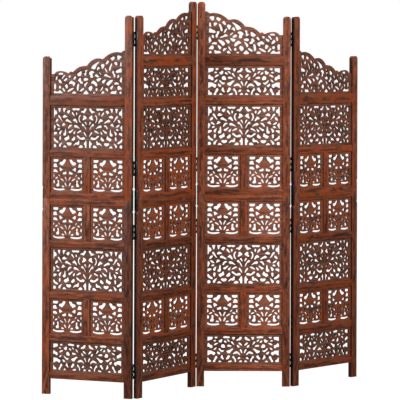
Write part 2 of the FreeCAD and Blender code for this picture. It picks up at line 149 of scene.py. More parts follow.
stands = {
    1: stand_panel(1, pins["fold_1_2"], PANEL_WIDTH + HALF_GAP, PANEL_THICKNESS + PIN_STAND_OFF),
    2: stand_panel(2, pins["fold_2_3"], PANEL_WIDTH + HALF_GAP, -PIN_STAND_OFF),
    3: stand_panel(3, pins["fold_2_3"], -HALF_GAP, -PIN_STAND_OFF),
    4: stand_panel(4, pins["fold_3_4"], -HALF_GAP, PANEL_THICKNESS + PIN_STAND_OFF),
}
about_face = Matrix.Translation((PANEL_WIDTH, PANEL_THICKNESS, 0.0)) @ Matrix.Rotation(math.pi, 4, "Z")
joinery_frames = {1: stands[1], 2: stands[2], 3: stands[3] @ about_face, 4: stands[4] @ about_face}


# Stiles: an upper and a lower one at each side of a panel, planed from 33 by 20 mm reddish hardwood,
# with rounded tops and square feet. The outer edge is scooped out at the seam for the joining plate,
# and stands half a millimetre proud elsewhere, so that the hinges' leaves are let into it.
STILE_WIDTH = 0.033
SEAM_HEIGHT = 0.821
POST_HEIGHTS = {"low": 1.41647, "middle": 1.58797, "tall": 1.650}
POST_ROUNDING = 0.013
OUTER_EDGE = -0.0005
RECESS_DEPTH = 0.0025
RECESS_FLAT = 0.044
RECESS_SLOPE = 0.012
STILE_ARRIS = 0.0007
STILE_LOG_STEP = 1.7
FRAME_TONES = ((0.034, 0.010, 0.005, 1.0), (0.136, 0.037, 0.017, 1.0), (0.255, 0.082, 0.040, 1.0),
               (0.28, 0.052, 0.010, 1.0))


def colour_ramp(tree, value, *ends):
    """A ramp over a value, from its two ends, each a position and a colour."""
    ramp = add_node(tree, "ShaderNodeValToRGB", {"Fac": value})
    for element, (position, colour) in zip(ramp.color_ramp.elements, ends):
        element.position = position
        element.color = colour
    return ramp


def stained_wood(name, shadow, body, worn, red, shine, scorch_rate, shaded_edge_distance):
    """Stained hardwood. The "grain" attribute gives metres along, across and into the piece, and
    "stain" gives the piece's lightness, which is partly painted light, its redness and how much of the
    scorched line shows. The edge faces, which lie at the shaded edge distance from the middle, are
    painted darker as shade."""
    wood = bpy.data.materials.new(name)
    wood.use_nodes = True
    tree = wood.node_tree
    grain = add_node(tree, "ShaderNodeAttribute", attribute_name="grain").outputs["Vector"]
    stain = add_node(tree, "ShaderNodeAttribute", attribute_name="stain").outputs["Vector"]
    lightness, redness, heartwood = add_node(tree, "ShaderNodeSeparateXYZ", {0: stain}).outputs

    def figure(along, across, detail, twist):
        """Noise stretched along the grain, in features per metre."""
        stretch = add_node(tree, "ShaderNodeMapping", {"Vector": grain, "Scale": (along, across, across)})
        return add_node(tree, "ShaderNodeTexNoise", {
            "Vector": stretch.outputs["Vector"], "Scale": 1.0, "Detail": detail,
            "Distortion": twist}).outputs["Fac"]

    def work_out(operation, *values):
        return add_node(tree, "ShaderNodeMath", dict(enumerate(values)), operation=operation).outputs[0]

    def ease(value, low, high, start, end):
        return add_node(tree, "ShaderNodeMapRange", {
            "Value": value, "From Min": low, "From Max": high, "To Min": start, "To Max": end},
            interpolation_type="SMOOTHSTEP").outputs["Result"]

    def blend_colours(share, first, second, kind="MIX"):
        return add_node(tree, "ShaderNodeMix", {0: share, 6: first, 7: second},
                        data_type="RGBA", blend_type=kind).outputs[2]

    streaks = figure(13.0, 165.0, 3.0, 0.7)
    flow = figure(9.0, 50.0, 3.0, 1.6)
    mottle = figure(48.0, 110.0, 3.0, 0.5)
    patches = figure(16.0, 42.0, 2.0, 0.6)
    pores = figure(70.0, 1300.0, 2.0, 0.0)

    # Body colour: streaks between the stain that stayed in the grain and the rubbed ridges
    long_marks = work_out("ADD", work_out("MULTIPLY", streaks, 0.38), work_out("MULTIPLY", flow, 0.36))
    mixed = work_out("ADD", long_marks, work_out("MULTIPLY", mottle, 0.26))
    ramp = colour_ramp(tree, mixed, (0.41, shadow), (0.575, worn))
    ramp.color_ramp.elements.new(0.49).color = body

    # The edges are rubbed redder than the middle, which has a wavering line of scorch marks
    across_grain = add_node(tree, "ShaderNodeSeparateXYZ", {0: grain}).outputs[1]
    off_middle = work_out("ABSOLUTE", across_grain)
    edge = ease(off_middle, 0.006, 0.013, 0.0, 0.35)
    patchy = work_out("ADD", ease(patches, 0.38, 0.62, 0.0, 1.6), edge)
    reddened = blend_colours(work_out("MULTIPLY", patchy, redness), ramp.outputs["Color"], red)
    waver = ease(flow, 0.35, 0.65, -0.004, 0.004)
    from_line = work_out("ABSOLUTE", work_out("ADD", across_grain, waver))
    scorch = work_out("MULTIPLY", ease(from_line, 0.002, 0.0075, 1.0, 0.0),
                      ease(figure(scorch_rate, 30.0, 2.0, 0.3), 0.42, 0.58, 0.0, 1.0))
    scorched = blend_colours(work_out("MULTIPLY", scorch, heartwood), reddened, shadow)
    # Painted shade: the edge faces are darkened towards the shadow tone, as if shaded in the narrow joints
    edge_shaded = blend_colours(ease(off_middle, shaded_edge_distance - 0.0006, shaded_edge_distance, 0.0, 0.72), scorched, shadow)
    pored = blend_colours(ease(pores, 0.52, 0.7, 0.0, 0.45), edge_shaded, shadow)
    grey = add_node(tree, "ShaderNodeCombineColor", {0: lightness, 1: lightness, 2: lightness}).outputs[0]
    height = work_out("ADD", work_out("MULTIPLY", pores, -0.6), streaks)
    bump = add_node(tree, "ShaderNodeBump", {"Strength": 0.35, "Distance": 0.0005, "Height": height})
    feed(tree, tree.nodes["Principled BSDF"], {
        "Base Color": blend_colours(1.0, pored, grey, "MULTIPLY"), "Specular IOR Level": 0.22,
        "Roughness": ease(mixed, 0.35, 0.65, shine + 0.12, shine), "Normal": bump.outputs["Normal"]})
    return wood


# Painted shade on the stiles' edge faces, darkened as if shaded in the joints
stile_wood = stained_wood("stained_stile_wood_with_painted_edge_shade", *FRAME_TONES, 0.42, 28.0, STILE_WIDTH / 2)


def add_to(stock, part):
    """Add a part to the stock of a piece."""
    mesh = bpy.data.meshes.new("part")
    part.to_mesh(mesh)
    part.free()
    stock.from_mesh(mesh)
    bpy.data.meshes.remove(mesh)


def saw_piece(stock, outline, front, back, softness, along, stain, shift):
    """Cut a piece to an outline in the XZ plane, ease its edges and add it to the stock. The grain
    runs along X or Z, and shift sets the piece's place in the log."""
    piece = bmesh.new()
    face = piece.faces.new([piece.verts.new((x, front, z)) for x, z in outline])
    grown = bmesh.ops.extrude_face_region(piece, geom=[face])
    for vertex in grown["geom"]:
        if isinstance(vertex, bmesh.types.BMVert):
            vertex.co.y = back
    bmesh.ops.recalc_face_normals(piece, faces=piece.faces)
    long_edges = [edge for edge in piece.edges if edge.verts[0].co.y == edge.verts[1].co.y]
    bmesh.ops.bevel(piece, geom=long_edges, offset=softness, offset_type="OFFSET", segments=3,
                    profile=0.5, affect="EDGES", clamp_overlap=True)
    grain_layer = piece.verts.layers.float_vector.new("grain")
    stain_layer = piece.verts.layers.float_vector.new("stain")
    middle_x = sum(x for x, z in outline) / len(outline)
    middle_z = sum(z for x, z in outline) / len(outline)
    if along == "Z":
        middle_x = (min(x for x, z in outline) + max(x for x, z in outline)) / 2
    for vertex in piece.verts:
        x, y, z = vertex.co
        depth = y - (front + back) / 2
        if along == "Z":
            vertex[grain_layer] = (z + shift, x - middle_x, depth)
        else:
            vertex[grain_layer] = (x + shift, z - middle_z, depth)
        vertex[stain_layer] = stain
    add_to(stock, piece)


def fit_piece(node, number, stock, place, finish, ending="_wood"):
    """Turn the stock into one finished piece in its place on the screen."""
    name = node + ending
    stock.transform(place)
    mesh = bpy.data.meshes.new(name)
    stock.to_mesh(mesh)
    stock.free()
    mesh.shade_smooth()
    mesh.set_sharp_from_angle(angle=math.radians(40.0))
    mesh.materials.append(finish)
    piece = bpy.data.objects.new(name, mesh)
    scene.collection.objects.link(piece)
    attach(piece, "panel_%d" % number)
    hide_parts(node)


def scooped_edge(direction):
    """The outer edge from the seam to the end of the recess, as points up or down from the seam."""
    points = []
    for step in range(7):
        share = step / 6
        eased = share * share * (3 - 2 * share)
        across = RECESS_DEPTH + (OUTER_EDGE - RECESS_DEPTH) * eased
        points.append((across, SEAM_HEIGHT + direction * (RECESS_FLAT + RECESS_SLOPE * share)))
    return [(RECESS_DEPTH, SEAM_HEIGHT)] + points


def upper_stile_outline(height):
    top = []
    for step in range(9):
        turn = math.pi * step / 16
        top.append((OUTER_EDGE + POST_ROUNDING * (1 - math.cos(turn)),
                    height - POST_ROUNDING * (1 - math.sin(turn))))
    across = [(STILE_WIDTH + OUTER_EDGE - x, z) for x, z in reversed(top)]
    return scooped_edge(1) + top + across + [(STILE_WIDTH, SEAM_HEIGHT)]


def lower_stile_outline():
    return [(OUTER_EDGE, 0.0), (STILE_WIDTH, 0.0), (STILE_WIDTH, SEAM_HEIGHT)] + scooped_edge(-1)


# Lightness, redness and heartwood of each stile. The lightness is partly the piece's own tone and partly
# painted light: panel 3's inner stiles, which panel 2 shades from the left softbox, are painted lighter.
STILE_TONES_AND_PAINTED_LIGHT = {
    (1, "upper", "outer"): (0.93, 0.12, 0.60),
    (1, "upper", "inner"): (0.88, 0.60, 0.45),
    (1, "lower", "outer"): (1.12, 0.30, 0.60),
    (1, "lower", "inner"): (0.60, 0.15, 0.60),
    (2, "upper", "outer"): (1.05, 0.45, 0.45),
    (2, "upper", "inner"): (0.92, 0.55, 0.55),
    (2, "lower", "outer"): (0.74, 0.35, 0.60),
    (2, "lower", "inner"): (0.60, 0.90, 0.60),
    (3, "upper", "inner"): (1.32, 0.20, 0.80),
    (3, "upper", "outer"): (1.00, 0.25, 0.70),
    (3, "lower", "inner"): (1.10, 0.20, 0.60),
    (3, "lower", "outer"): (0.90, 0.20, 0.50),
    (4, "upper", "inner"): (0.85, 0.35, 0.60),
    (4, "upper", "outer"): (0.95, 0.40, 0.50),
    (4, "lower", "inner"): (0.75, 0.35, 0.60),
    (4, "lower", "outer"): (0.72, 0.35, 0.50),
}
POSTS = {1: ("low", "middle"), 2: ("middle", "tall"), 3: ("middle", "tall"), 4: ("low", "middle")}
for (number, level, side), stain in STILE_TONES_AND_PAINTED_LIGHT.items():
    if level == "upper":
        outline = upper_stile_outline(POST_HEIGHTS[POSTS[number][side == "inner"]])
    else:
        outline = lower_stile_outline()
    stock = bmesh.new()
    shift = STILE_LOG_STEP * len(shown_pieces())
    saw_piece(stock, outline, 0.0, PANEL_THICKNESS, STILE_ARRIS, "Z", stain, shift)
    place = joinery_frames[number] @ (about_face if side == "inner" else Matrix())
    fit_piece("panel_%d_%s_%s_stile" % (number, level, side), number, stock, place, stile_wood)


# Rails: lengths of the same wood between the stiles, joined with stub tenons. A heavy one carries the
# crest, and two lie against each other at the seam. They are shy of the stiles by a hair.
ROW_HEIGHTS = {"seam": 0.0255, "small": 0.1505, "rail": 0.0275, "big": 0.187, "short": 0.139,
               "base": 0.1335, "foot": 0.0255, "crest": 0.041}
SIDE_UPPER_ROWS = ("seam", "small", "rail", "big", "crest")
CENTRE_UPPER_ROWS = ("seam", "small", "rail", "big", "rail", "short", "crest")
LOWER_ROWS = ("seam", "small", "rail", "big", "rail", "small", "rail", "base", "foot")
RAIL_KINDS = ("seam", "rail", "crest", "foot")
SHY = 0.0004
RAIL_PLAY = 0.0001
RAIL_ARRIS = 0.0009
RAIL_LOG_STEPS = (2.3, 0.9)
RAIL_LOG_SHIFTS = {"upper": 0.0, "lower": 1.37}
rail_wood = stained_wood("stained_rail_wood", *FRAME_TONES, 0.42, 9.0, 1.0)


def rectangle(left, base, right, top):
    return [(left, base), (right, base), (right, top), (left, top)]


def rows_from_seam(rows, direction):
    """Each row's kind with its lower and upper edge."""
    found = []
    edge = SEAM_HEIGHT
    for kind in rows:
        next_edge = edge + direction * ROW_HEIGHTS[kind]
        found.append((kind, min(edge, next_edge), max(edge, next_edge)))
        edge = next_edge
    return found


panel_rows = {}
for number in (1, 2, 3, 4):
    upper_rows = SIDE_UPPER_ROWS if number in (1, 4) else CENTRE_UPPER_ROWS
    panel_rows[number] = {"upper": rows_from_seam(upper_rows, 1), "lower": rows_from_seam(LOWER_ROWS, -1)}

# Lightness, redness and heartwood of each panel's rails and muntins, by half. The lightness is partly their
# own tone and partly painted light: panel 3's rails are painted lighter against the shade that panel 2 casts
# on them.
RAIL_TONES_AND_PAINTED_LIGHT = {
    (1, "upper"): (0.86, 0.42, 0.75),
    (1, "lower"): (1.03, 0.30, 0.75),
    (2, "upper"): (0.85, 0.60, 0.75),
    (2, "lower"): (0.70, 0.40, 0.75),
    (3, "upper"): (1.04, 0.35, 0.75),
    (3, "lower"): (1.25, 0.40, 0.75),
    (4, "upper"): (0.90, 0.70, 0.75),
    (4, "lower"): (0.70, 0.90, 0.75),
}
# How much lighter or darker single rails are than their set, by their row from the seam
ODD_RAILS = {
    (1, "upper", 4): 0.79, (1, "lower", 8): 0.85,
    (2, "lower", 2): 0.82,
    (3, "upper", 4): 1.14, (3, "upper", 6): 0.71, (3, "lower", 2): 0.80, (3, "lower", 8): 1.20,
    (4, "upper", 4): 0.83, (4, "lower", 2): 0.92,
}
for (number, level), (lightness, redness, heartwood) in RAIL_TONES_AND_PAINTED_LIGHT.items():
    stock = bmesh.new()
    for count, (kind, base, top) in enumerate(panel_rows[number][level]):
        if kind in RAIL_KINDS:
            left = STILE_WIDTH + RAIL_PLAY
            outline = rectangle(left, base, PANEL_WIDTH - left, top)
            shift = RAIL_LOG_STEPS[0] * number + RAIL_LOG_STEPS[1] * count + RAIL_LOG_SHIFTS[level]
            stain = (lightness * ODD_RAILS.get((number, level, count), 1.0), redness, heartwood)
            saw_piece(stock, outline, SHY, PANEL_THICKNESS - SHY, RAIL_ARRIS, "X", stain, shift)
    fit_piece("panel_%d_%s_rails" % (number, level), number, stock, joinery_frames[number], rail_wood)


# Muntins: a short upright between the two small boards of a row, cut from the stiles' wood. Its ends
# are tongued into the rails above and below it.
MUNTIN_WIDTH = 0.026
MUNTIN_LOG_STEP = 3.1
for number in (1, 2, 3, 4):
    stock = bmesh.new()
    count = 0
    for level in ("upper", "lower"):
        for kind, base, top in panel_rows[number][level]:
            if kind == "small":
                left = (PANEL_WIDTH - MUNTIN_WIDTH) / 2
                outline = rectangle(left, base, left + MUNTIN_WIDTH, top)
                count += 1
                saw_piece(stock, outline, SHY, PANEL_THICKNESS - SHY, RAIL_ARRIS, "Z",
                          RAIL_TONES_AND_PAINTED_LIGHT[(number, level)], MUNTIN_LOG_STEP * number + count)
    fit_piece("panel_%d_muntins" % number, number, stock, joinery_frames[number], stile_wood)


# Pierced boards: 7 mm boards of the same wood, sawn through with a fret saw in a lattice of leaves
# and tendrils. Their edges are held in the grooves of the frame. The faces have taken the stain
# unevenly, the voids' sawn walls are rougher and have painted shade, and the arrises are worn.
BOARD_THICKNESS = 0.007
ARRIS = 0.0009
BOARD_LOG_STEP = 0.37
MILLIMETRE = 0.001
board_wood = stained_wood("stained_board_wood", (0.032, 0.014, 0.009, 1.0), (0.088, 0.038, 0.025, 1.0),
                          (0.155, 0.073, 0.050, 1.0), (0.20, 0.046, 0.014, 1.0), 0.5, 20.0, 1.0)
# Painted shade: the void walls take a darker copy of the board wood, for the shade inside the voids
void_wall_shaded_wood = stained_wood("sawn_void_walls_painted_shade", (0.018, 0.007, 0.004, 1.0), (0.048, 0.017, 0.010, 1.0),
                         (0.085, 0.031, 0.018, 1.0), (0.10, 0.024, 0.008, 1.0), 0.6, 20.0, 1.0)


def saw_line(points):
    """The line that the fret saw follows: smooth through the marks, sharp where it turns back."""
    count = len(points)
    marks = [Vector(point) for point in points]
    courses = []
    for number in range(count):
        coming = (marks[number] - marks[number - 1]).normalized()
        going = (marks[(number + 1) % count] - marks[number]).normalized()
        courses.append(None if coming.dot(going) < 0.2 else (coming + going).normalized())
    line = []
    for number in range(count):
        start = marks[number]
        end = marks[(number + 1) % count]
        run = end - start
        leaving = courses[number] * run.length if courses[number] else run
        arriving = courses[(number + 1) % count] * run.length if courses[(number + 1) % count] else run
        steps = 3 if run.length > 3.5 else 2
        for step in range(steps):
            t = step / steps
            line.append(start * (2 * t ** 3 - 3 * t ** 2 + 1) + leaving * (t ** 3 - 2 * t ** 2 + t)
                        + end * (3 * t ** 2 - 2 * t ** 3) + arriving * (t ** 3 - t ** 2))
    return line


def pierced_board(name, outline, voids):
    """A board upright in the XZ plane, its thickness about Y, from outlines in millimetres."""
    drawing = bpy.data.curves.new(name, "CURVE")
    drawing.dimensions = "2D"
    drawing.fill_mode = "BOTH"
    drawing.extrude = BOARD_THICKNESS / 2 - ARRIS
    drawing.bevel_depth = ARRIS
    drawing.bevel_resolution = 1
    drawing.offset = -ARRIS
    for line in [outline] + [saw_line(void) for void in voids]:
        spline = drawing.splines.new("POLY")
        spline.points.add(len(line) - 1)
        for point, mark in zip(spline.points, line):
            point.co = (mark[0] * MILLIMETRE, mark[1] * MILLIMETRE, 0.0, 1.0)
        spline.use_cyclic_u = True
    drawn = bpy.data.objects.new(name, drawing)
    scene.collection.objects.link(drawn)
    mesh = bpy.data.meshes.new_from_object(drawn.evaluated_get(bpy.context.evaluated_depsgraph_get()))
    bpy.data.objects.remove(drawn)
    bpy.data.curves.remove(drawing)
    board = bmesh.new()
    board.from_mesh(mesh)
    bmesh.ops.remove_doubles(board, verts=board.verts, dist=0.000001)
    board.transform(Matrix.Rotation(math.pi / 2, 4, "X"))
    bmesh.ops.recalc_face_normals(board, faces=board.faces)
    grain_layer = board.verts.layers.float_vector.new("grain")
    for vertex in board.verts:
        vertex[grain_layer] = (vertex.co.x, vertex.co.z, vertex.co.y)
    wall_layer = board.faces.layers.bool.new("void_wall")
    for face in board.faces:
        face[wall_layer] = abs(face.normal.y) < 0.3
        face.smooth = abs(face.normal.y) < 0.99
    board.to_mesh(mesh)
    board.free()
    mesh.set_sharp_from_angle(angle=math.radians(50.0))
    return bpy.data.objects.new(name, mesh)


def board_outline(half_width, half_height):
    return rectangle(-half_width, -half_height, half_width, half_height)


def both_halves(voids, squeeze=1.0):
    """The voids of the right half and their mirror images, squeezed to the height of the field."""
    pairs = []
    for void in voids:
        pairs.append([(across, up * squeeze) for across, up in void])
        pairs.append([(-across, up * squeeze) for across, up in reversed(void)])
    return pairs


def new_tree(name, sockets):
    """An empty tree that sets something out on a mesh, and what it is given."""
    tree = bpy.data.node_groups.new(name, "GeometryNodeTree")
    tree.interface.new_socket("Geometry", in_out="OUTPUT", socket_type="NodeSocketGeometry")
    for label, kind in (("Geometry", "Geometry"),) + sockets:
        tree.interface.new_socket(label, in_out="INPUT", socket_type="NodeSocket" + kind)
    return tree, add_node(tree, "NodeGroupInput").outputs


def boards_tree():
    """Sets copies of a board at points. Each copy is cut from another place of the log."""
    tree, given = new_tree("boards_in_grooves", (
        ("Board", "Object"), ("Turn", "Rotation"), ("Log shift", "Float"), ("Stain", "Vector"),
        ("Face finish", "Material"), ("Wall colour with painted shade", "Material")))

    def store(geometry, name, value, kind="FLOAT_VECTOR", domain="POINT"):
        return add_node(tree, "GeometryNodeStoreNamedAttribute", {
            "Geometry": geometry, "Name": name, "Value": value},
            data_type=kind, domain=domain).outputs["Geometry"]

    def recall(name, kind):
        return add_node(tree, "GeometryNodeInputNamedAttribute", {"Name": name},
                        data_type=kind).outputs["Attribute"]

    board = add_node(tree, "GeometryNodeObjectInfo", {"Object": given["Board"]})
    placed = add_node(tree, "GeometryNodeInstanceOnPoints", {
        "Points": given["Geometry"], "Instance": board.outputs["Geometry"], "Rotation": given["Turn"]})
    index = add_node(tree, "GeometryNodeInputIndex").outputs[0]
    numbered = store(placed.outputs["Instances"], "copy", index, "FLOAT", "INSTANCE")
    real = add_node(tree, "GeometryNodeRealizeInstances", {"Geometry": numbered})
    shift = add_node(tree, "ShaderNodeMath", {0: recall("copy", "FLOAT"), 1: given["Log shift"]},
                     operation="MULTIPLY")
    along = add_node(tree, "ShaderNodeCombineXYZ", {0: shift.outputs[0]})
    moved = add_node(tree, "ShaderNodeVectorMath", {
        0: recall("grain", "FLOAT_VECTOR"), 1: along.outputs[0]}, operation="ADD")
    regrained = store(real.outputs["Geometry"], "grain", moved.outputs[0])
    stained = store(regrained, "stain", given["Stain"])
    faced = add_node(tree, "GeometryNodeSetMaterial", {"Geometry": stained, "Material": given["Face finish"]})
    walled = add_node(tree, "GeometryNodeSetMaterial", {
        "Geometry": faced.outputs["Geometry"], "Selection": recall("void_wall", "BOOLEAN"),
        "Material": given["Wall colour with painted shade"]})
    add_node(tree, "NodeGroupOutput", {"Geometry": walled.outputs["Geometry"]})
    return tree


def run_tree(name, points, tree, settings):
    """A plain mesh of what the tree makes at the points."""
    mesh = bpy.data.meshes.new(name)
    mesh.from_pydata(points, [], [])
    piece = bpy.data.objects.new(name, mesh)
    scene.collection.objects.link(piece)
    modifier = piece.modifiers.new("set out", "NODES")
    modifier.node_group = tree
    for item in tree.interface.items_tree:
        if item.item_type == "SOCKET" and item.in_out == "INPUT" and item.name in settings:
            modifier[item.identifier] = settings[item.name]
    depsgraph = bpy.context.evaluated_depsgraph_get()
    made = bpy.data.meshes.new_from_object(piece.evaluated_get(depsgraph), preserve_all_data_layers=True,
                                           depsgraph=depsgraph)
    piece.modifiers.remove(modifier)
    piece.data = made
    bpy.data.meshes.remove(mesh)
    made.name = name
    return piece


set_out_boards = boards_tree()


def set_boards(node, number, board, centres, stain, ending="_fretwork"):
    """Set copies of a board into the panel, their middles at the centres."""
    place = joinery_frames[number]
    points = [tuple(place @ Vector((x, PANEL_THICKNESS / 2, z))) for x, z in centres]
    piece = run_tree(node + ending, points, set_out_boards, {
        "Board": board, "Turn": place.to_euler(), "Log shift": BOARD_LOG_STEP, "Stain": stain,
        "Face finish": board_wood, "Wall colour with painted shade": void_wall_shaded_wood})
    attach(piece, "panel_%d" % number)
    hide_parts(node)


def row_middles(number, wanted, levels=("upper", "lower")):
    """The middle heights of a panel's rows of one kind."""
    return [(base + top) / 2 for level in levels for kind, base, top in panel_rows[number][level]
            if kind == wanted]


BOARD_STAINS = {1: (1.05, 0.20, 0.3), 2: (0.85, 0.35, 0.3), 3: (1.40, 0.20, 0.3), 4: (0.97, 0.30, 0.3)}
# The small boards have been rubbed back further and show more of the red wood
SMALL_BOARD_STAINS = {1: (1.16, 0.42, 0.3), 2: (1.24, 0.80, 0.3), 3: (1.68, 0.34, 0.3),
                      4: (1.07, 0.58, 0.3)}

# Small boards: six in each panel, in pairs beside the muntins. A vase of leaves stands between
# curling stems. The marks of one half are mirrored to the other.
SMALL_VOIDS = (
    ((41, 63.5), (64.5, 63.5), (64.5, 53.5), (57, 52.5), (47, 52.5), (42, 56.5)),
    ((45, 30.5), (64.5, 31), (64.5, 41), (56, 46), (51, 45.5), (48, 38)),
    ((44, 8.5), (64.5, 11), (64.5, 18.5), (55, 21.5), (50, 19.5), (45, 13.5)),
    ((7, 62), (9, 56), (14, 47), (20, 41), (24, 34.5), (28, 39), (33, 41), (38, 44), (37, 49), (33, 52.5),
     (27, 53), (23, 57), (20, 61.5), (13, 63.5)),
    ((20, 20.5), (26, 24), (31, 28.5), (37.5, 29.5), (37.5, 20), (34, 12.5), (29, 16)),
    ((5, 5), (6, 12), (9, 14), (14, 10), (21, 8.5), (23, 4), (21, 1), (12, 1.5), (7, 2.5)),
    ((33, -9), (36, -3), (41, 1.5), (42.5, -1), (40, -5.5), (36, -8.5)),
    ((59, -6), (60, -3), (61.5, 2), (64.5, 2), (64.5, -11), (61, -10)),
    ((44, -10), (50, -10.5), (55, -14), (57, -18), (50, -17.5), (45, -14.5)),
    ((16, -28), (20, -22), (28, -17), (35, -16), (32, -20), (26, -24), (20, -27.5)),
    ((3, -27), (5, -18), (9, -10), (13, -8), (14, -12), (10, -18), (6, -26)),
    ((60, -24), (64, -23), (64, -37), (60.5, -38.5), (57, -33), (57.5, -28)),
    ((41, -23), (45, -23), (47, -27), (45, -33), (47, -38), (52, -44), (51, -49), (46, -50.5), (39, -49),
     (37, -43), (39, -35), (38, -28)),
    ((4, -49), (6, -41), (9, -35), (13, -32), (15, -36), (12, -43), (7, -49)),
    ((14, -52), (17, -48), (22, -46), (27, -48), (28, -51), (22, -53), (16, -53.5)),
    ((12, -62), (14, -59.5), (22, -58.5), (34, -59.5), (46, -59.5), (56, -58), (61, -54.5), (64.5, -54),
     (64.5, -60), (60, -63.5), (14, -63.5)),
)
SMALL_HALF_SIZE = (82, 80.25)
SMALL_MIDDLE = 0.077
small_board = pierced_board("small_board", board_outline(*SMALL_HALF_SIZE), both_halves(SMALL_VOIDS))
small_middles = (STILE_WIDTH + SMALL_MIDDLE, PANEL_WIDTH - STILE_WIDTH - SMALL_MIDDLE)
for number in (1, 2, 3, 4):
    centres = [(x, z) for z in row_middles(number, "small") for x in small_middles]
    set_boards("panel_%d_small_boards" % number, number, small_board, centres, SMALL_BOARD_STAINS[number])

# Big boards: two in each panel, of the same 7 mm wood. A flower on a stem between four pairs of
# curling branches.
BIG_VOIDS = (
    ((148, 81), (153.5, 81), (153.5, 42), (150, 44), (148, 53), (139, 57), (138, 63), (142, 71), (148, 73)),
    ((121, 81.5), (135, 81.5), (133, 76), (130, 66), (127, 62.5), (125, 66), (123, 74)),
    ((98, 81.5), (112, 81.5), (112, 76), (109, 66), (106, 63), (104, 67), (102, 75), (98, 79)),
    ((79, 72), (85, 74), (92, 71), (96, 66), (91, 61), (87, 58), (84, 62), (80, 67)),
    ((36, 81.5), (70, 81.5), (70, 77), (64, 73.5), (57, 73.5), (52, 75.5), (47, 73), (40, 74), (37, 77)),
    ((5, 80), (10, 82), (16, 80), (19, 73), (26, 71), (32, 68), (31, 65), (25, 65.5), (19, 61), (14, 64),
     (10, 70), (6, 76)),
    ((72, 66), (68, 66), (63, 60), (59, 52), (58, 49), (63, 50.5), (68, 55), (73, 62)),
    ((48, 64), (47, 58), (50, 52), (53, 55), (54, 62), (51, 67)),
    ((31, 54), (36, 54), (41, 48), (43, 38), (40, 28), (34, 22), (31, 23), (35, 30), (37, 38), (36, 46),
     (32, 50)),
    ((4, 42), (9, 49), (18, 53), (21, 50), (20, 44), (24, 37), (25, 34), (20, 32), (14, 36), (9, 38)),
    ((4, 12), (6, 20), (9, 26), (13, 26), (14, 22), (10, 17), (6, 12)),
    ((5, -12), (8, -2), (12, 6), (17, 12), (20, 17), (26, 17), (28, 13), (24, 8), (18, 7), (14, 0), (9, -8)),
    ((46, 21), (48, 28), (53, 36), (57, 40), (62, 37), (68, 33), (66, 29), (59, 28), (54, 24), (49, 20)),
    ((72, 22), (78, 28), (86, 33), (92, 37), (98, 34), (102, 31), (97, 27), (90, 26), (82, 23), (75, 20)),
    ((91, 48), (97, 50), (102, 54), (107, 53), (113, 48), (113, 43), (108, 42), (101, 43), (95, 45)),
    ((133, 53), (128, 52), (122, 44), (118, 35), (112, 27), (117, 28), (123, 34), (128, 40), (134, 47)),
    ((132, 36), (137, 37), (142, 34), (146, 26), (145, 22), (140, 24), (134, 29)),
    ((99, 13), (105, 18), (111, 20), (114, 15), (118, 7), (112, 7.5), (105, 10.5)),
    ((124, 5), (130, 12), (137, 16), (142, 16), (141, 11), (135, 7), (128, 4.5)),
    ((144, 3), (147, 9), (151, 12), (153.5, 12), (153.5, -12), (151, -11), (148, -4)),
    ((124, -4), (130, -1), (136, -4), (138, -8), (134, -9), (128, -8)),
    ((70, 12), (76, 13), (83, 11), (88, 4), (90, -4), (85, -3), (80, 4), (73, 8)),
    ((34, -3), (40, 3), (47, 9), (54, 12), (61, 11), (62, 5), (58, 2), (50, 2), (42, -1), (37, -3)),
    ((28, -11), (34, -10), (42, -14), (49, -20), (50, -24), (44, -21), (36, -18), (30, -15)),
    ((65, -6), (70, -7), (77, -12), (84, -14), (87, -18), (83, -22), (77, -21), (71, -15), (66, -10)),
    ((53, -11), (58, -14), (64, -18), (66, -23), (62, -27), (58, -24), (56, -17)),
    ((99, -4), (102, -3), (104, -12), (105, -20), (111, -25), (110, -31), (104, -33), (98, -30), (97, -22),
     (98, -12)),
    ((116, -11), (121, -12), (127, -17), (130, -22), (127, -28), (122, -29), (120, -23), (118, -17)),
    ((138, -20), (144, -18.5), (153.5, -19), (153.5, -33), (149, -30), (143, -27), (138, -24)),
    ((5, -36), (8, -27), (13, -19), (18, -15), (20, -18), (17, -25), (11, -32), (7, -37)),
    ((12, -42), (16, -38), (22, -38), (28, -41), (35, -39), (41, -33), (47, -31), (51, -33), (48, -38),
     (42, -42), (35, -47), (28, -49), (19, -48), (13, -46)),
    ((56, -44), (60, -37), (63, -37), (67, -42), (73, -48), (72, -53), (66, -54), (60, -51), (57, -48)),
    ((82, -46), (84, -36), (86, -31), (90, -33), (93, -38), (99, -40), (107, -45), (104, -51), (98, -54.5),
     (92, -51), (87, -48)),
    ((121, -37), (126, -36), (129, -42), (128, -50), (125, -54.5), (122, -50), (120, -43)),
    ((131, -61), (135, -56), (142, -52), (147, -46), (150, -42.5), (153.5, -42), (153.5, -54), (147, -59),
     (140, -63), (134, -64)),
    ((5, -82), (5, -62), (7, -53), (11, -51), (13, -58), (18, -63), (18.5, -68), (14, -73), (14, -82)),
    ((37, -56), (41, -52), (44, -55), (47, -60), (54, -61.5), (60, -67), (65, -73), (62, -74.5), (54, -69),
     (46, -70), (39, -69), (38, -63)),
    ((22, -77), (25, -73), (31, -71.5), (36, -74), (42, -81), (40, -82), (25, -82), (22, -80)),
    ((72, -65), (76, -61), (84, -62), (92, -61), (97, -64), (93, -70), (87, -74), (78, -73), (73, -69)),
    ((113, -58), (117, -61), (123, -65), (129, -70), (131, -76), (127, -80.5), (122, -79), (120, -72),
     (116, -65)),
    ((93, -82), (98, -77), (104, -73.5), (109, -76), (113, -82)),
    ((141, -77), (144, -70), (149, -69), (153.5, -71), (153.5, -82), (145, -82)),
)
BIG_HALF_SIZE = (172, 98.5)
big_board = pierced_board("big_board", board_outline(*BIG_HALF_SIZE), both_halves(BIG_VOIDS))
for number in (1, 2, 3, 4):
    centres = [(PANEL_WIDTH / 2, z) for z in row_middles(number, "big")]
    set_boards("panel_%d_big_boards" % number, number, big_board, centres, BOARD_STAINS[number])

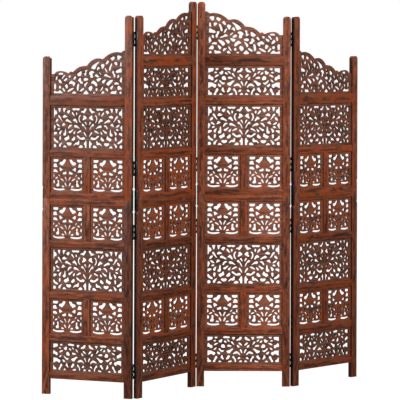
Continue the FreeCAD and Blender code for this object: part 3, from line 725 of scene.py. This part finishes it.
# Short boards: the base board of each panel, and one under the crest rail of the inner two. The
# base opening is 5.5 mm lower, so its board has the same drawing squeezed to fit, with finer voids.
SHORT_VOIDS = (
    ((131, 57), (153.5, 57), (153.5, 38), (149, 39), (140, 43), (134, 44), (131, 50)),
    ((109, 56.5), (122, 57), (122, 51), (117, 48.5), (112, 51)),
    ((56, 56), (60, 57.5), (86, 57.5), (88, 55), (82, 50), (74, 50.5), (66, 49.5), (58, 51.5)),
    ((33, 56), (48, 56), (46, 48), (42, 42), (39, 44), (36, 50)),
    ((5, 55), (10, 57.5), (16, 55), (18, 50), (24, 47), (30, 41), (29, 38.5), (22, 39.5), (14, 41), (8, 46)),
    ((52, 36), (47, 36), (42, 28), (38, 20), (37, 17), (43, 22), (49, 27), (52, 32)),
    ((57, 34), (62, 34.5), (68, 40), (70, 45), (65, 44), (59, 39)),
    ((69, 31), (74, 30), (81, 33), (83, 38), (79, 40), (73, 36)),
    ((89, 45), (94, 46), (100, 42), (107, 38), (104, 34), (99, 30), (93, 31), (90, 37)),
    ((115, 38), (121, 42), (127, 41), (127, 36), (121, 35)),
    ((107, 30), (113, 29), (119, 28), (124, 23), (127, 18), (121, 18.5), (114, 22), (109, 26)),
    ((131, 9), (134, 6), (139, 5), (143, 9), (148, 11), (153.5, 11), (153.5, 24), (150, 30), (146, 27),
     (141, 21), (134, 19), (132, 14)),
    ((77, 10), (80, 6), (87, 7), (93, 8), (94, 20), (89, 23), (82, 22), (79, 16)),
    ((48, 15), (52, 12), (60, 12), (68, 13), (69, 19), (63, 21), (55, 19)),
    ((4, 17), (6, 22), (12, 29), (18, 31.5), (20.5, 28), (16, 22), (9, 17)),
    ((15.5, 11), (18, 16), (24, 20.5), (28, 20), (26, 14), (22, 8), (18, 7)),
    ((113, 9), (118, 8), (125, 2), (127, -3), (122, -3), (116, 3)),
    ((40, 2), (44, 4), (51, 3), (58, -2), (66, -5), (73, -7), (71, -13), (64, -18), (58, -18), (53, -12),
     (48, -5)),
    ((82, -4), (86, -5), (93, -3), (98, 1), (104, 7), (106, 4), (103, -3), (98, -8), (92, -13), (86, -11),
     (82, -8)),
    ((3, -17), (5, -8), (8, -1), (12, 2), (15, -2), (11, -9), (6, -18)),
    ((98, -18), (103, -13), (110, -9), (112, -14), (109, -20), (104, -23.5), (100, -22)),
    ((119, -16), (122, -12), (130, -10), (134, -6), (143, -4.5), (153.5, -4), (153.5, -28), (148, -26),
     (142, -22), (134, -21), (129, -26), (124, -27), (121, -23)),
    ((12, -27), (14, -20), (19, -13), (25, -9), (31, -8.5), (37, -12), (44, -18), (43, -22), (36, -20),
     (28, -18.5), (22, -19), (17, -25)),
    ((30, -57.5), (30, -50), (32, -43), (37, -35), (42, -29), (46, -31), (46, -37), (40, -42), (37, -48),
     (35, -57.5)),
    ((56, -31), (60, -27), (66, -27), (68, -33), (73, -40), (73, -46), (67, -46), (61, -40)),
    ((82, -45), (87, -34), (89, -26), (93, -26), (95, -32), (98, -37), (93, -41), (87, -46)),
    ((110, -37), (113, -29), (118, -30), (122, -38), (125, -46), (130, -53), (129, -57.5), (120, -57.5),
     (119, -50), (115, -44)),
    ((138, -50), (142, -47), (147, -44), (150, -37), (153.5, -37), (153.5, -57.5), (138, -57.5)),
    ((11, -38), (16, -34), (22, -38), (25, -45), (20, -44), (14, -42)),
    ((5, -53), (10, -49), (15, -52), (19, -57.5), (5, -57.5)),
    ((48, -54), (51, -49.5), (57, -51), (63, -53), (67, -57.5), (52, -57.5)),
    ((91, -57.5), (96, -53), (101, -50), (105, -53), (107, -57.5)),
)
SHORT_HALF_SIZE = (172, 74.5)
BASE_HALF_SIZE = (172, 71.75)
BASE_SQUEEZE = 0.953
NARROWING = 0.945


def narrowed(voids):
    """The same voids, each drawn in towards its own middle."""
    drawn_in = []
    for void in voids:
        middle = (sum(x for x, z in void) / len(void), sum(z for x, z in void) / len(void))
        drawn_in.append([(middle[0] + (x - middle[0]) * NARROWING, middle[1] + (z - middle[1]) * NARROWING)
                         for x, z in void])
    return drawn_in


short_board = pierced_board("short_board", board_outline(*SHORT_HALF_SIZE), both_halves(SHORT_VOIDS))
base_board = pierced_board("base_board", board_outline(*BASE_HALF_SIZE),
                           narrowed(both_halves(SHORT_VOIDS, BASE_SQUEEZE)))
for number in (1, 2, 3, 4):
    for level, wanted, board in (("upper", "short", short_board), ("lower", "base", base_board)):
        centres = [(PANEL_WIDTH / 2, z) for z in row_middles(number, wanted, (level,))]
        if centres:
            set_boards("panel_%d_short_boards" % number, number, board, centres, BOARD_STAINS[number],
                       "_%s_fretwork" % level)

# Crest boards: the same fretwork under a scalloped edge that climbs from the low post to the high
# one in five humps. The board stands in a groove of the crest rail and of both stiles.
CREST_FOOT = 81.5
CREST_TONGUE = 5
CREST_HALF_WIDTH = 172
CREST_LOW_END = 8
CREST_HIGH_END = 109.5
CREST_EDGE = (
    (-167, 8), (-152, 8), (-150, 10), (-146, 15), (-139, 19), (-130, 21.3), (-120, 21.5), (-110, 20),
    (-101, 17.5), (-95, 15), (-90, 13.2), (-86, 13), (-82.5, 15.5), (-80.5, 18.5), (-77, 19.5),
    (-73, 18.5), (-67, 17), (-65, 19.5), (-60, 24), (-55, 28.5), (-50, 32), (-40, 38.5), (-32, 41),
    (-25, 42.5), (-17, 43.5), (-10, 44), (-3, 45), (-2, 47.5), (0, 50), (5, 56), (10, 61), (15, 65),
    (22, 69.5), (30, 73), (37, 75), (45, 75.5), (53, 75), (60, 73.5), (68, 73), (71, 75.5), (75, 79),
    (80, 83.5), (85, 87), (92, 91.5), (100, 95.5), (107, 98.5), (115, 100.5), (122, 102), (130, 102.5),
    (138, 102), (145, 101), (150, 101), (155, 106), (162, 109), (167, 109.5),
)
CREST_VOIDS = (
    ((-134, 8), (-130, 12), (-120, 14), (-111, 11), (-111, 7), (-120, 6), (-130, 6)),
    ((-146, -10), (-142, -1), (-139, 2), (-137, -3), (-138, -12), (-141, -17), (-145, -16)),
    ((-119, -10), (-115, -3), (-109, 4), (-103, 5), (-104, 0), (-109, -5), (-115, -12)),
    ((-109, -19), (-106, -13), (-99, -9), (-92, -7), (-93, -12), (-98, -18), (-105, -21)),
    ((-134, -18), (-128, -13), (-123, -17), (-118, -25), (-118, -31), (-125, -29), (-131, -25)),
    ((-88, 0), (-82, 3), (-76, 1), (-79, -3), (-83, -7), (-87, -5)),
    ((-65, -8), (-61, -2), (-55, -1), (-53, -5), (-57, -11), (-62, -15), (-66, -13)),
    ((-87, -31), (-84, -25), (-78, -20), (-72, -18.5), (-67, -22), (-60, -25), (-57, -29), (-59, -36),
     (-64, -41), (-69, -40), (-69, -33), (-75, -32), (-81, -33)),
    ((-153, -33), (-147, -32), (-143, -39), (-143, -47), (-146, -56), (-151, -57), (-153.5, -50)),
    ((-132, -44), (-128, -40.5), (-123, -41), (-121, -47), (-122, -52), (-128, -52), (-132, -49)),
    ((-105, -39), (-100, -36), (-95, -33), (-92, -36), (-90, -44), (-91, -51), (-97, -51), (-101, -46)),
    ((-117, -51), (-112, -49), (-107, -54), (-102, -61), (-103, -66), (-109, -63), (-114, -57)),
    ((-154, -63), (-148, -62), (-142, -65), (-134, -64.5), (-130, -60), (-125, -58.5), (-121, -63),
     (-114, -69), (-113, -72), (-154, -72)),
    ((-93, -63), (-88, -58), (-80, -53), (-72, -50), (-65, -48), (-64, -51), (-70, -56), (-77, -61),
     (-86, -65), (-92, -66)),
    ((-73, -71), (-69, -66), (-63, -63), (-58, -64), (-53, -69), (-52, -72), (-71, -72)),
    ((-51, -48), (-49, -38), (-46, -32), (-41, -31), (-39, -36), (-41, -46), (-42, -57), (-45, -62),
     (-49, -59), (-51, -54)),
    ((-50, 8), (-43, 14), (-36, 19), (-31, 22), (-28, 18), (-29, 9), (-31, 3), (-37, 0.5), (-45, 2)),
    ((-20, 12), (-13, 12), (-13, 24), (-9, 27), (-4, 28), (-3, 24), (-7, 19), (-7, 9), (-9, 2), (-14, 4),
     (-19, 9)),
    ((-46, -18), (-42, -12), (-34, -6.5), (-31, -9), (-31, -17), (-27, -21), (-23, -25), (-23, -29),
     (-30, -31), (-36, -28), (-40, -22)),
    ((-20, -11), (-14, -7), (-5, -7.5), (2, -11), (0, -15), (-7, -18), (-15, -19), (-19, -16)),
    ((-18, -35), (-11, -28), (-3, -23), (1, -22), (-3, -29), (-8, -37), (-11, -45), (-15, -43)),
    ((-38, -60), (-32, -55), (-25, -50), (-17, -49), (-18, -55), (-25, -60), (-33, -63.5)),
    ((-21, -71), (-15, -64), (-9, -59), (-4, -62), (0, -67), (4, -71), (3, -72.5), (-20, -72.5)),
    ((2, -48), (8, -42), (15, -39), (20, -43), (20.5, -50), (17, -56), (12, -61), (7, -59), (3, -54)),
    ((4, 14), (10, 21), (20, 23), (27, 20), (28, 16), (22, 13), (21, 6), (23, -1), (21, -5), (12, -5.5),
     (9, -2), (10, 4), (5, 8)),
    ((12, 32), (17, 42), (26, 50), (36, 56), (46, 61), (52, 62), (50, 58), (44, 53), (40, 47), (36, 38),
     (31, 30), (24, 30), (17, 33)),
    ((40, 26), (40, 34), (44, 40), (49, 40), (53, 33), (55, 30), (49, 31), (43, 24)),
    ((56, 47), (62, 51.5), (69, 52), (74, 49), (73, 43), (68, 34), (64, 30), (61, 34), (59, 41)),
    ((46, 17), (50, 19), (56, 15), (61, 10), (63, 5), (57, 6), (51, 11)),
    ((30, 5), (35, 9), (41, 8), (47, 3), (51, -1), (46, -4), (38, -2), (33, 1)),
    ((37, -11), (44, -9), (52, -6), (60, -7), (58, -12), (52, -18), (44, -21), (39, -17)),
    ((12, -27), (18, -21), (25, -17), (31, -21), (37, -25), (42, -33), (42, -40), (36, -41), (30, -36),
     (24, -31), (17, -29)),
    ((73, 34), (78, 34.5), (83, 29), (87, 20), (87, 16), (81, 19), (77, 26)),
    ((77, 53), (82, 61), (86, 67), (91, 66), (94, 61), (89, 55), (84, 51)),
    ((93, 26), (94, 36), (98, 46), (103, 54), (108, 56), (108, 48), (104, 40), (102, 30), (98, 23)),
    ((99, 77), (106, 80), (113, 84), (118, 82), (120, 76), (115, 71), (108, 67), (103, 71)),
    ((129, 85), (133, 88), (141, 87), (149, 84), (149, 80), (144, 77), (141, 72), (136, 70), (130, 73),
     (130, 79)),
    ((116, 58), (123, 61), (130, 59), (131, 50), (127, 45), (123, 49), (118, 53)),
    ((141, 44), (143, 52), (145, 60), (150, 60), (150.5, 44)),
    ((122, 20), (127, 26), (134, 29), (141, 33), (147, 36), (150.5, 32), (150.5, 18), (140, 17.5),
     (128, 16)),
    ((107, 20), (111, 24), (116, 23), (117, 15), (122, 8), (122, 0), (119, -4), (115, -2), (113, 6),
     (109, 13)),
    ((70, 5), (75, 9), (82, 11), (88, 6), (94, 2), (101, 0), (104, -4), (97, -4), (88, -1), (79, 1),
     (73, 2)),
    ((130, -2), (131, 4), (135, 8), (139, 6), (139, 0), (135, -5), (131, -5)),
    ((141, -14), (144, -8), (147, 0), (150.5, -2), (150.5, -28), (147, -24), (142, -20)),
    ((62, -20), (67, -16), (74, -12.5), (80, -13), (79, -18), (74, -24), (69, -30), (64, -27)),
    ((82, -31), (86, -24), (93, -18), (102, -14), (112, -13), (110, -19), (104, -26), (97, -33), (92, -39),
     (86, -36)),
    ((117, -27), (123, -24), (131, -24), (138, -28), (139, -32), (131, -32), (123, -33), (118, -32)),
    ((54, -60), (58, -52), (62, -45), (66, -40), (68, -43), (66, -50), (61, -57), (56, -61)),
    ((33, -54), (36, -49), (40, -48), (43, -52), (42, -58), (37, -60), (34, -58)),
    ((74, -46), (79, -50), (86, -49), (90, -55), (91, -62), (86, -61), (80, -56), (76, -51)),
    ((98, -47), (103, -41), (109, -37), (113, -36), (113, -42), (109, -49), (105, -55), (101, -52)),
    ((131, -43), (134, -39), (139, -38), (144, -41), (150.5, -49), (150.5, -54), (143, -53), (136, -55),
     (132, -52)),
    ((99, -70), (103, -63), (111, -61), (119, -61), (125, -57), (128, -60), (127, -67), (126, -70.5),
     (110, -71)),
    ((139, -66), (143, -62), (149, -62), (150.5, -66), (149, -70.5), (143, -71)),
    ((58, -71), (62, -65), (67, -60), (72, -63), (74, -69), (70, -71)),
    ((22, -68), (25, -65), (30, -65), (33, -68), (30, -71), (25, -71)),
)
crest_base = -CREST_FOOT - CREST_TONGUE
crest_outline = [(-CREST_HALF_WIDTH, crest_base), (CREST_HALF_WIDTH, crest_base),
                 (CREST_HALF_WIDTH, CREST_HIGH_END), *reversed(CREST_EDGE),
                 (-CREST_HALF_WIDTH, CREST_LOW_END)]
crest_board = pierced_board("crest_board", crest_outline, CREST_VOIDS)
for number in (1, 2, 3, 4):
    crest_rail_top = panel_rows[number]["upper"][-1][2]
    centres = [(PANEL_WIDTH / 2, crest_rail_top + CREST_FOOT * MILLIMETRE)]
    set_boards("panel_%d_crest_board" % number, number, crest_board, centres, BOARD_STAINS[number])
for board in (small_board, big_board, short_board, base_board, crest_board):
    bpy.data.objects.remove(board)


# Joining plates: a black steel strap with rounded ends in the scoop of each outer edge, held by four
# countersunk screws, locks a panel's halves together. The straps in the joints stand proud but clear
# each other when a joint lies flat, and those at the screen's ends lie below the edge.
PLATE_LENGTH = 0.088
PLATE_WIDTH = 0.019
PLATE_RISE = 0.0007
END_PLATE_DEPTH = 0.0005
PLATE_CORNER = 0.0045
PLATE_ARRIS = 0.0004
PLATE_SCREWS = (-0.034, -0.013, 0.013, 0.034)
SCREW_RADIUS = 0.0031
SCREW_RISE = 0.0002


def blackened_steel(name, colour, roughness):
    """Black lacquered iron with a faint mottle and rubbed spots."""
    steel = bpy.data.materials.new(name)
    steel.use_nodes = True
    tree = steel.node_tree
    coordinates = add_node(tree, "ShaderNodeTexCoord")
    mottle = add_node(tree, "ShaderNodeTexNoise", {
        "Vector": coordinates.outputs["Object"], "Scale": 260.0, "Detail": 4.0}).outputs["Fac"]
    tint = colour_ramp(tree, mottle, (0.35, colour), (0.75, (0.05, 0.043, 0.038, 1.0)))
    wear = add_node(tree, "ShaderNodeMapRange", {
        "Value": mottle, "To Min": roughness, "To Max": roughness + 0.2})
    dents = add_node(tree, "ShaderNodeBump", {"Height": mottle, "Strength": 0.25, "Distance": 0.0002})
    feed(tree, tree.nodes["Principled BSDF"], {
        "Base Color": tint.outputs["Color"], "Metallic": 0.6, "Roughness": wear.outputs["Result"],
        "Normal": dents.outputs["Normal"]})
    return steel


black_iron = blackened_steel("black_iron", (0.006, 0.0055, 0.005, 1.0), 0.28)


def rounded_strip(width, height, radius):
    """The outline of a strip with rounded corners, its middle at zero."""
    points = []
    for number, (x, z) in enumerate(((1, -1), (1, 1), (-1, 1), (-1, -1))):
        for step in range(5):
            turn = math.pi / 2 * (number - 1 + step / 4)
            points.append((x * (width / 2 - radius) + radius * math.cos(turn),
                           z * (height / 2 - radius) + radius * math.sin(turn)))
    return points


def stamp_plate(outline, thickness, softness):
    """A plate stamped from sheet, its outline in the YZ plane and its outer face towards -X."""
    plate = bmesh.new()
    face = plate.faces.new([plate.verts.new((0.0, y, z)) for y, z in outline])
    grown = bmesh.ops.extrude_face_region(plate, geom=[face])
    for vertex in grown["geom"]:
        if isinstance(vertex, bmesh.types.BMVert):
            vertex.co.x = thickness
    bmesh.ops.recalc_face_normals(plate, faces=plate.faces)
    rim = [edge for edge in plate.edges if edge.verts[0].co.x == 0.0 and edge.verts[1].co.x == 0.0]
    bmesh.ops.bevel(plate, geom=rim, offset=softness, offset_type="OFFSET", segments=2, profile=0.5,
                    affect="EDGES", clamp_overlap=True)
    return plate


def screw_head():
    """A slotted screw head of radius 1 and height 1, its face towards -X and its slot 0.9 deep."""
    head = bmesh.new()
    half_slot = 0.16
    start = math.asin(half_slot)
    turns = [start + (math.pi - 2 * start) * step / 6 for step in range(7)]
    for side in (1, -1):
        rim = [head.verts.new((0.0, side * math.sin(turn), math.cos(turn))) for turn in turns]
        crown = [head.verts.new((-1.0, side * max(0.8 * math.sin(turn), half_slot), 0.8 * math.cos(turn)))
                 for turn in turns]
        for number in range(6):
            head.faces.new((rim[number], rim[number + 1], crown[number + 1], crown[number]))
        head.faces.new(crown)
        sole = [head.verts.new((-0.1, side * half_slot, z)) for z in (-0.9, 0.9)]
        head.faces.new((crown[0], crown[-1], sole[0], sole[1]))
        if side == 1:
            near_sole = sole
        else:
            head.faces.new((near_sole[0], near_sole[1], sole[1], sole[0]))
    bmesh.ops.recalc_face_normals(head, faces=head.faces)
    mesh = bpy.data.meshes.new("screw_head")
    head.to_mesh(mesh)
    head.free()
    return bpy.data.objects.new("screw_head", mesh)


def fixings_tree():
    """Sets copies of a fixing at points, all turned one way and made to one size."""
    tree, given = new_tree("fixings_in_place", (
        ("Fixing", "Object"), ("Turn", "Rotation"), ("Size", "Vector"), ("Finish", "Material")))
    fixing = add_node(tree, "GeometryNodeObjectInfo", {"Object": given["Fixing"]})
    placed = add_node(tree, "GeometryNodeInstanceOnPoints", {
        "Points": given["Geometry"], "Instance": fixing.outputs["Geometry"], "Rotation": given["Turn"],
        "Scale": given["Size"]})
    real = add_node(tree, "GeometryNodeRealizeInstances", {"Geometry": placed.outputs["Instances"]})
    finished = add_node(tree, "GeometryNodeSetMaterial", {
        "Geometry": real.outputs["Geometry"], "Material": given["Finish"]})
    add_node(tree, "NodeGroupOutput", {"Geometry": finished.outputs["Geometry"]})
    return tree


set_out_fixings = fixings_tree()
screw = screw_head()


def drive_screws(name, number, place, points, turn=Matrix()):
    """Drive screws into panel iron at points of a frame, their faces towards -X of that frame."""
    heads = run_tree(name, [tuple(place @ Vector(point)) for point in points], set_out_fixings, {
        "Fixing": screw, "Turn": (place @ turn).to_euler(), "Finish": black_iron,
        "Size": (SCREW_RISE, SCREW_RADIUS, SCREW_RADIUS)})
    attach(heads, "panel_%d" % number)


for number in (1, 2, 3, 4):
    stock = bmesh.new()
    outer_face = END_PLATE_DEPTH if number in (1, 4) else -PLATE_RISE
    sides = (("outer", Matrix(), outer_face), ("inner", about_face, -PLATE_RISE))
    for end, side, face in sides:
        strap = stamp_plate(rounded_strip(PLATE_WIDTH, PLATE_LENGTH, PLATE_CORNER), RECESS_DEPTH - face,
                            PLATE_ARRIS)
        strap.transform(side @ Matrix.Translation((face, PANEL_THICKNESS / 2, SEAM_HEIGHT)))
        add_to(stock, strap)
    name = "panel_%d_joining_plates" % number
    fit_piece(name, number, stock, joinery_frames[number], black_iron, "_iron")
    for end, side, face in sides:
        heads = [(face, PANEL_THICKNESS / 2, SEAM_HEIGHT + rise) for rise in PLATE_SCREWS]
        drive_screws("%s_%s_screws" % (name, end), number, joinery_frames[number] @ side, heads)


# Hinges: four black iron butt hinges in each joint, 60 mm tall. Each leaf lies on the edge of a stile
# with three screws. Of the five knuckles the leaf of three carries the pin that the other turns on.
HINGE_HEIGHT = 0.060
BARREL_RADIUS = 0.0022
KNUCKLE_RADIUS = 0.0014
LEAF_WIDTH = 0.016
LEAF_THICKNESS = 0.0007
LEAF_NOTCH = 0.0045
LEAF_CORNER = 0.0018
LEAF_ARRIS = 0.0002
LEAF_SCREWS = (0.010, 0.030, 0.050)
NECK_LAP = 0.002
NECK_ARRIS = 0.0001
KNUCKLE_PLAY = 0.0004
KNUCKLE_ARRIS = 0.0003
PIN_RADIUS = 0.0009
PIN_HEAD_RADIUS = 0.0017
PIN_HEAD_RISE = 0.0012


def turned_piece(rings, sides):
    """A closed piece turned about the Z axis, from radius and height of each ring."""
    turned = bmesh.new()
    loops = []
    for radius, height in rings:
        loops.append([turned.verts.new((radius * math.cos(math.tau * step / sides),
                                        radius * math.sin(math.tau * step / sides), height))
                      for step in range(sides)])
    for lower, upper in zip(loops, loops[1:]):
        for step in range(sides):
            after = (step + 1) % sides
            turned.faces.new((lower[step], lower[after], upper[after], upper[step]))
    turned.faces.new(list(reversed(loops[0])))
    turned.faces.new(loops[-1])
    return turned


def pattern(name, stock):
    """An object to copy, made of the stock."""
    mesh = bpy.data.meshes.new(name)
    stock.to_mesh(mesh)
    stock.free()
    mesh.shade_smooth()
    mesh.set_sharp_from_angle(angle=math.radians(35.0))
    return bpy.data.objects.new(name, mesh)


def forged_leaf(name, side, knuckles):
    """A leaf with its knuckles, about the pin's axis. The leaf reaches along +Y from the barrel."""
    stock = bmesh.new()
    face = HALF_GAP - LEAF_THICKNESS
    far = BARREL_RADIUS + LEAF_WIDTH
    leaf = stamp_plate(rounded_strip(far - LEAF_NOTCH, HINGE_HEIGHT, LEAF_CORNER), LEAF_THICKNESS, LEAF_ARRIS)
    leaf.transform(Matrix.Translation((face, (far + LEAF_NOTCH) / 2, HINGE_HEIGHT / 2)))
    add_to(stock, leaf)
    for base, top in knuckles:
        neck = stamp_plate(rectangle(0.0, base, LEAF_NOTCH + NECK_LAP, top), LEAF_THICKNESS, NECK_ARRIS)
        neck.transform(Matrix.Translation((face, 0.0, 0.0)))
        add_to(stock, neck)
        eased = KNUCKLE_RADIUS - KNUCKLE_ARRIS
        add_to(stock, turned_piece(((eased, base), (KNUCKLE_RADIUS, base + KNUCKLE_ARRIS),
                                    (KNUCKLE_RADIUS, top - KNUCKLE_ARRIS), (eased, top)), 20))
    if side < 0:
        stock.transform(Matrix.Scale(-1.0, 4, Vector((1.0, 0.0, 0.0))))
        bmesh.ops.reverse_faces(stock, faces=stock.faces)
    return pattern(name, stock)


knuckles = [(HINGE_HEIGHT * count / 5 + KNUCKLE_PLAY / 2, HINGE_HEIGHT * (count + 1) / 5 - KNUCKLE_PLAY / 2)
            for count in range(5)]
pin_leaf = forged_leaf("pin_leaf", -1, knuckles[::2])
middle_leaf = forged_leaf("middle_leaf", 1, knuckles[1::2])
pin_stock = turned_piece(((PIN_HEAD_RADIUS * 0.6, -PIN_HEAD_RISE), (PIN_HEAD_RADIUS, -PIN_HEAD_RISE * 0.5),
                          (PIN_HEAD_RADIUS, 0.0), (PIN_RADIUS, 0.0), (PIN_RADIUS, HINGE_HEIGHT),
                          (PIN_HEAD_RADIUS, HINGE_HEIGHT),
                          (PIN_HEAD_RADIUS, HINGE_HEIGHT + PIN_HEAD_RISE * 0.5),
                          (PIN_HEAD_RADIUS * 0.6, HINGE_HEIGHT + PIN_HEAD_RISE)), 16)
hinge_pin = pattern("hinge_pin", pin_stock)
FOOT_HINGE = 0.111
SEAM_HINGE = 0.132
MIDDLE_POST_DROP = 0.098
TALL_POST_DROP = 0.132


def hinge_bases(post_height, drop):
    """Heights of the lower ends of a joint's four hinges."""
    return [middle - HINGE_HEIGHT / 2 for middle in (
        FOOT_HINGE, SEAM_HEIGHT - SEAM_HINGE, SEAM_HEIGHT + SEAM_HINGE, post_height - drop)]


def hang_irons(name, number, place, points, iron, screw_face):
    """Set one iron of a joint's hinges at its four heights, and drive its screws."""
    irons = run_tree(name + "_iron", [tuple(place @ Vector(point)) for point in points], set_out_fixings, {
        "Fixing": iron, "Turn": place.to_euler(), "Size": (1.0, 1.0, 1.0), "Finish": black_iron})
    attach(irons, "panel_%d" % number)
    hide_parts(name)
    if screw_face:
        across = BARREL_RADIUS + LEAF_WIDTH / 2
        heads = [(screw_face * (HALF_GAP - LEAF_THICKNESS), across, base + rise)
                 for x, y, base in points for rise in LEAF_SCREWS]
        turn = Matrix() if screw_face > 0 else Matrix.Rotation(math.pi, 4, "Z")
        drive_screws(name + "_screws", number, place, heads, turn)


JOINTS = (
    ("hinges_1_2", "fold_1_2", hinge_bases(POST_HEIGHTS["middle"], MIDDLE_POST_DROP), True, 1, 2),
    ("hinges_2_3", "fold_2_3", hinge_bases(POST_HEIGHTS["tall"], TALL_POST_DROP), False, 2, 3),
    ("hinges_3_4", "fold_3_4", hinge_bases(POST_HEIGHTS["middle"], MIDDLE_POST_DROP), True, 3, 4),
)
for name, joint, bases, at_back, left, right in JOINTS:
    points = [(0.0, 0.0, base) for base in bases]
    frames = {}
    for number in (left, right):
        turn = math.radians(PANEL_TURNS[number]) + (math.pi if at_back else 0.0)
        frames[number] = Matrix.Translation(pins[joint]) @ Matrix.Rotation(turn, 4, "Z")
    left_iron, right_iron = (middle_leaf, pin_leaf) if at_back else (pin_leaf, middle_leaf)
    hang_irons(name + "_left_leaves", left, frames[left], points, left_iron, 1 if at_back else -1)
    hang_irons(name + "_right_leaves", right, frames[right], points, right_iron, -1 if at_back else 1)
    hang_irons(name + "_pins", right if at_back else left, frames[right if at_back else left], points,
               hinge_pin, 0)
for iron in (screw, pin_leaf, middle_leaf, hinge_pin):
    bpy.data.objects.remove(iron)
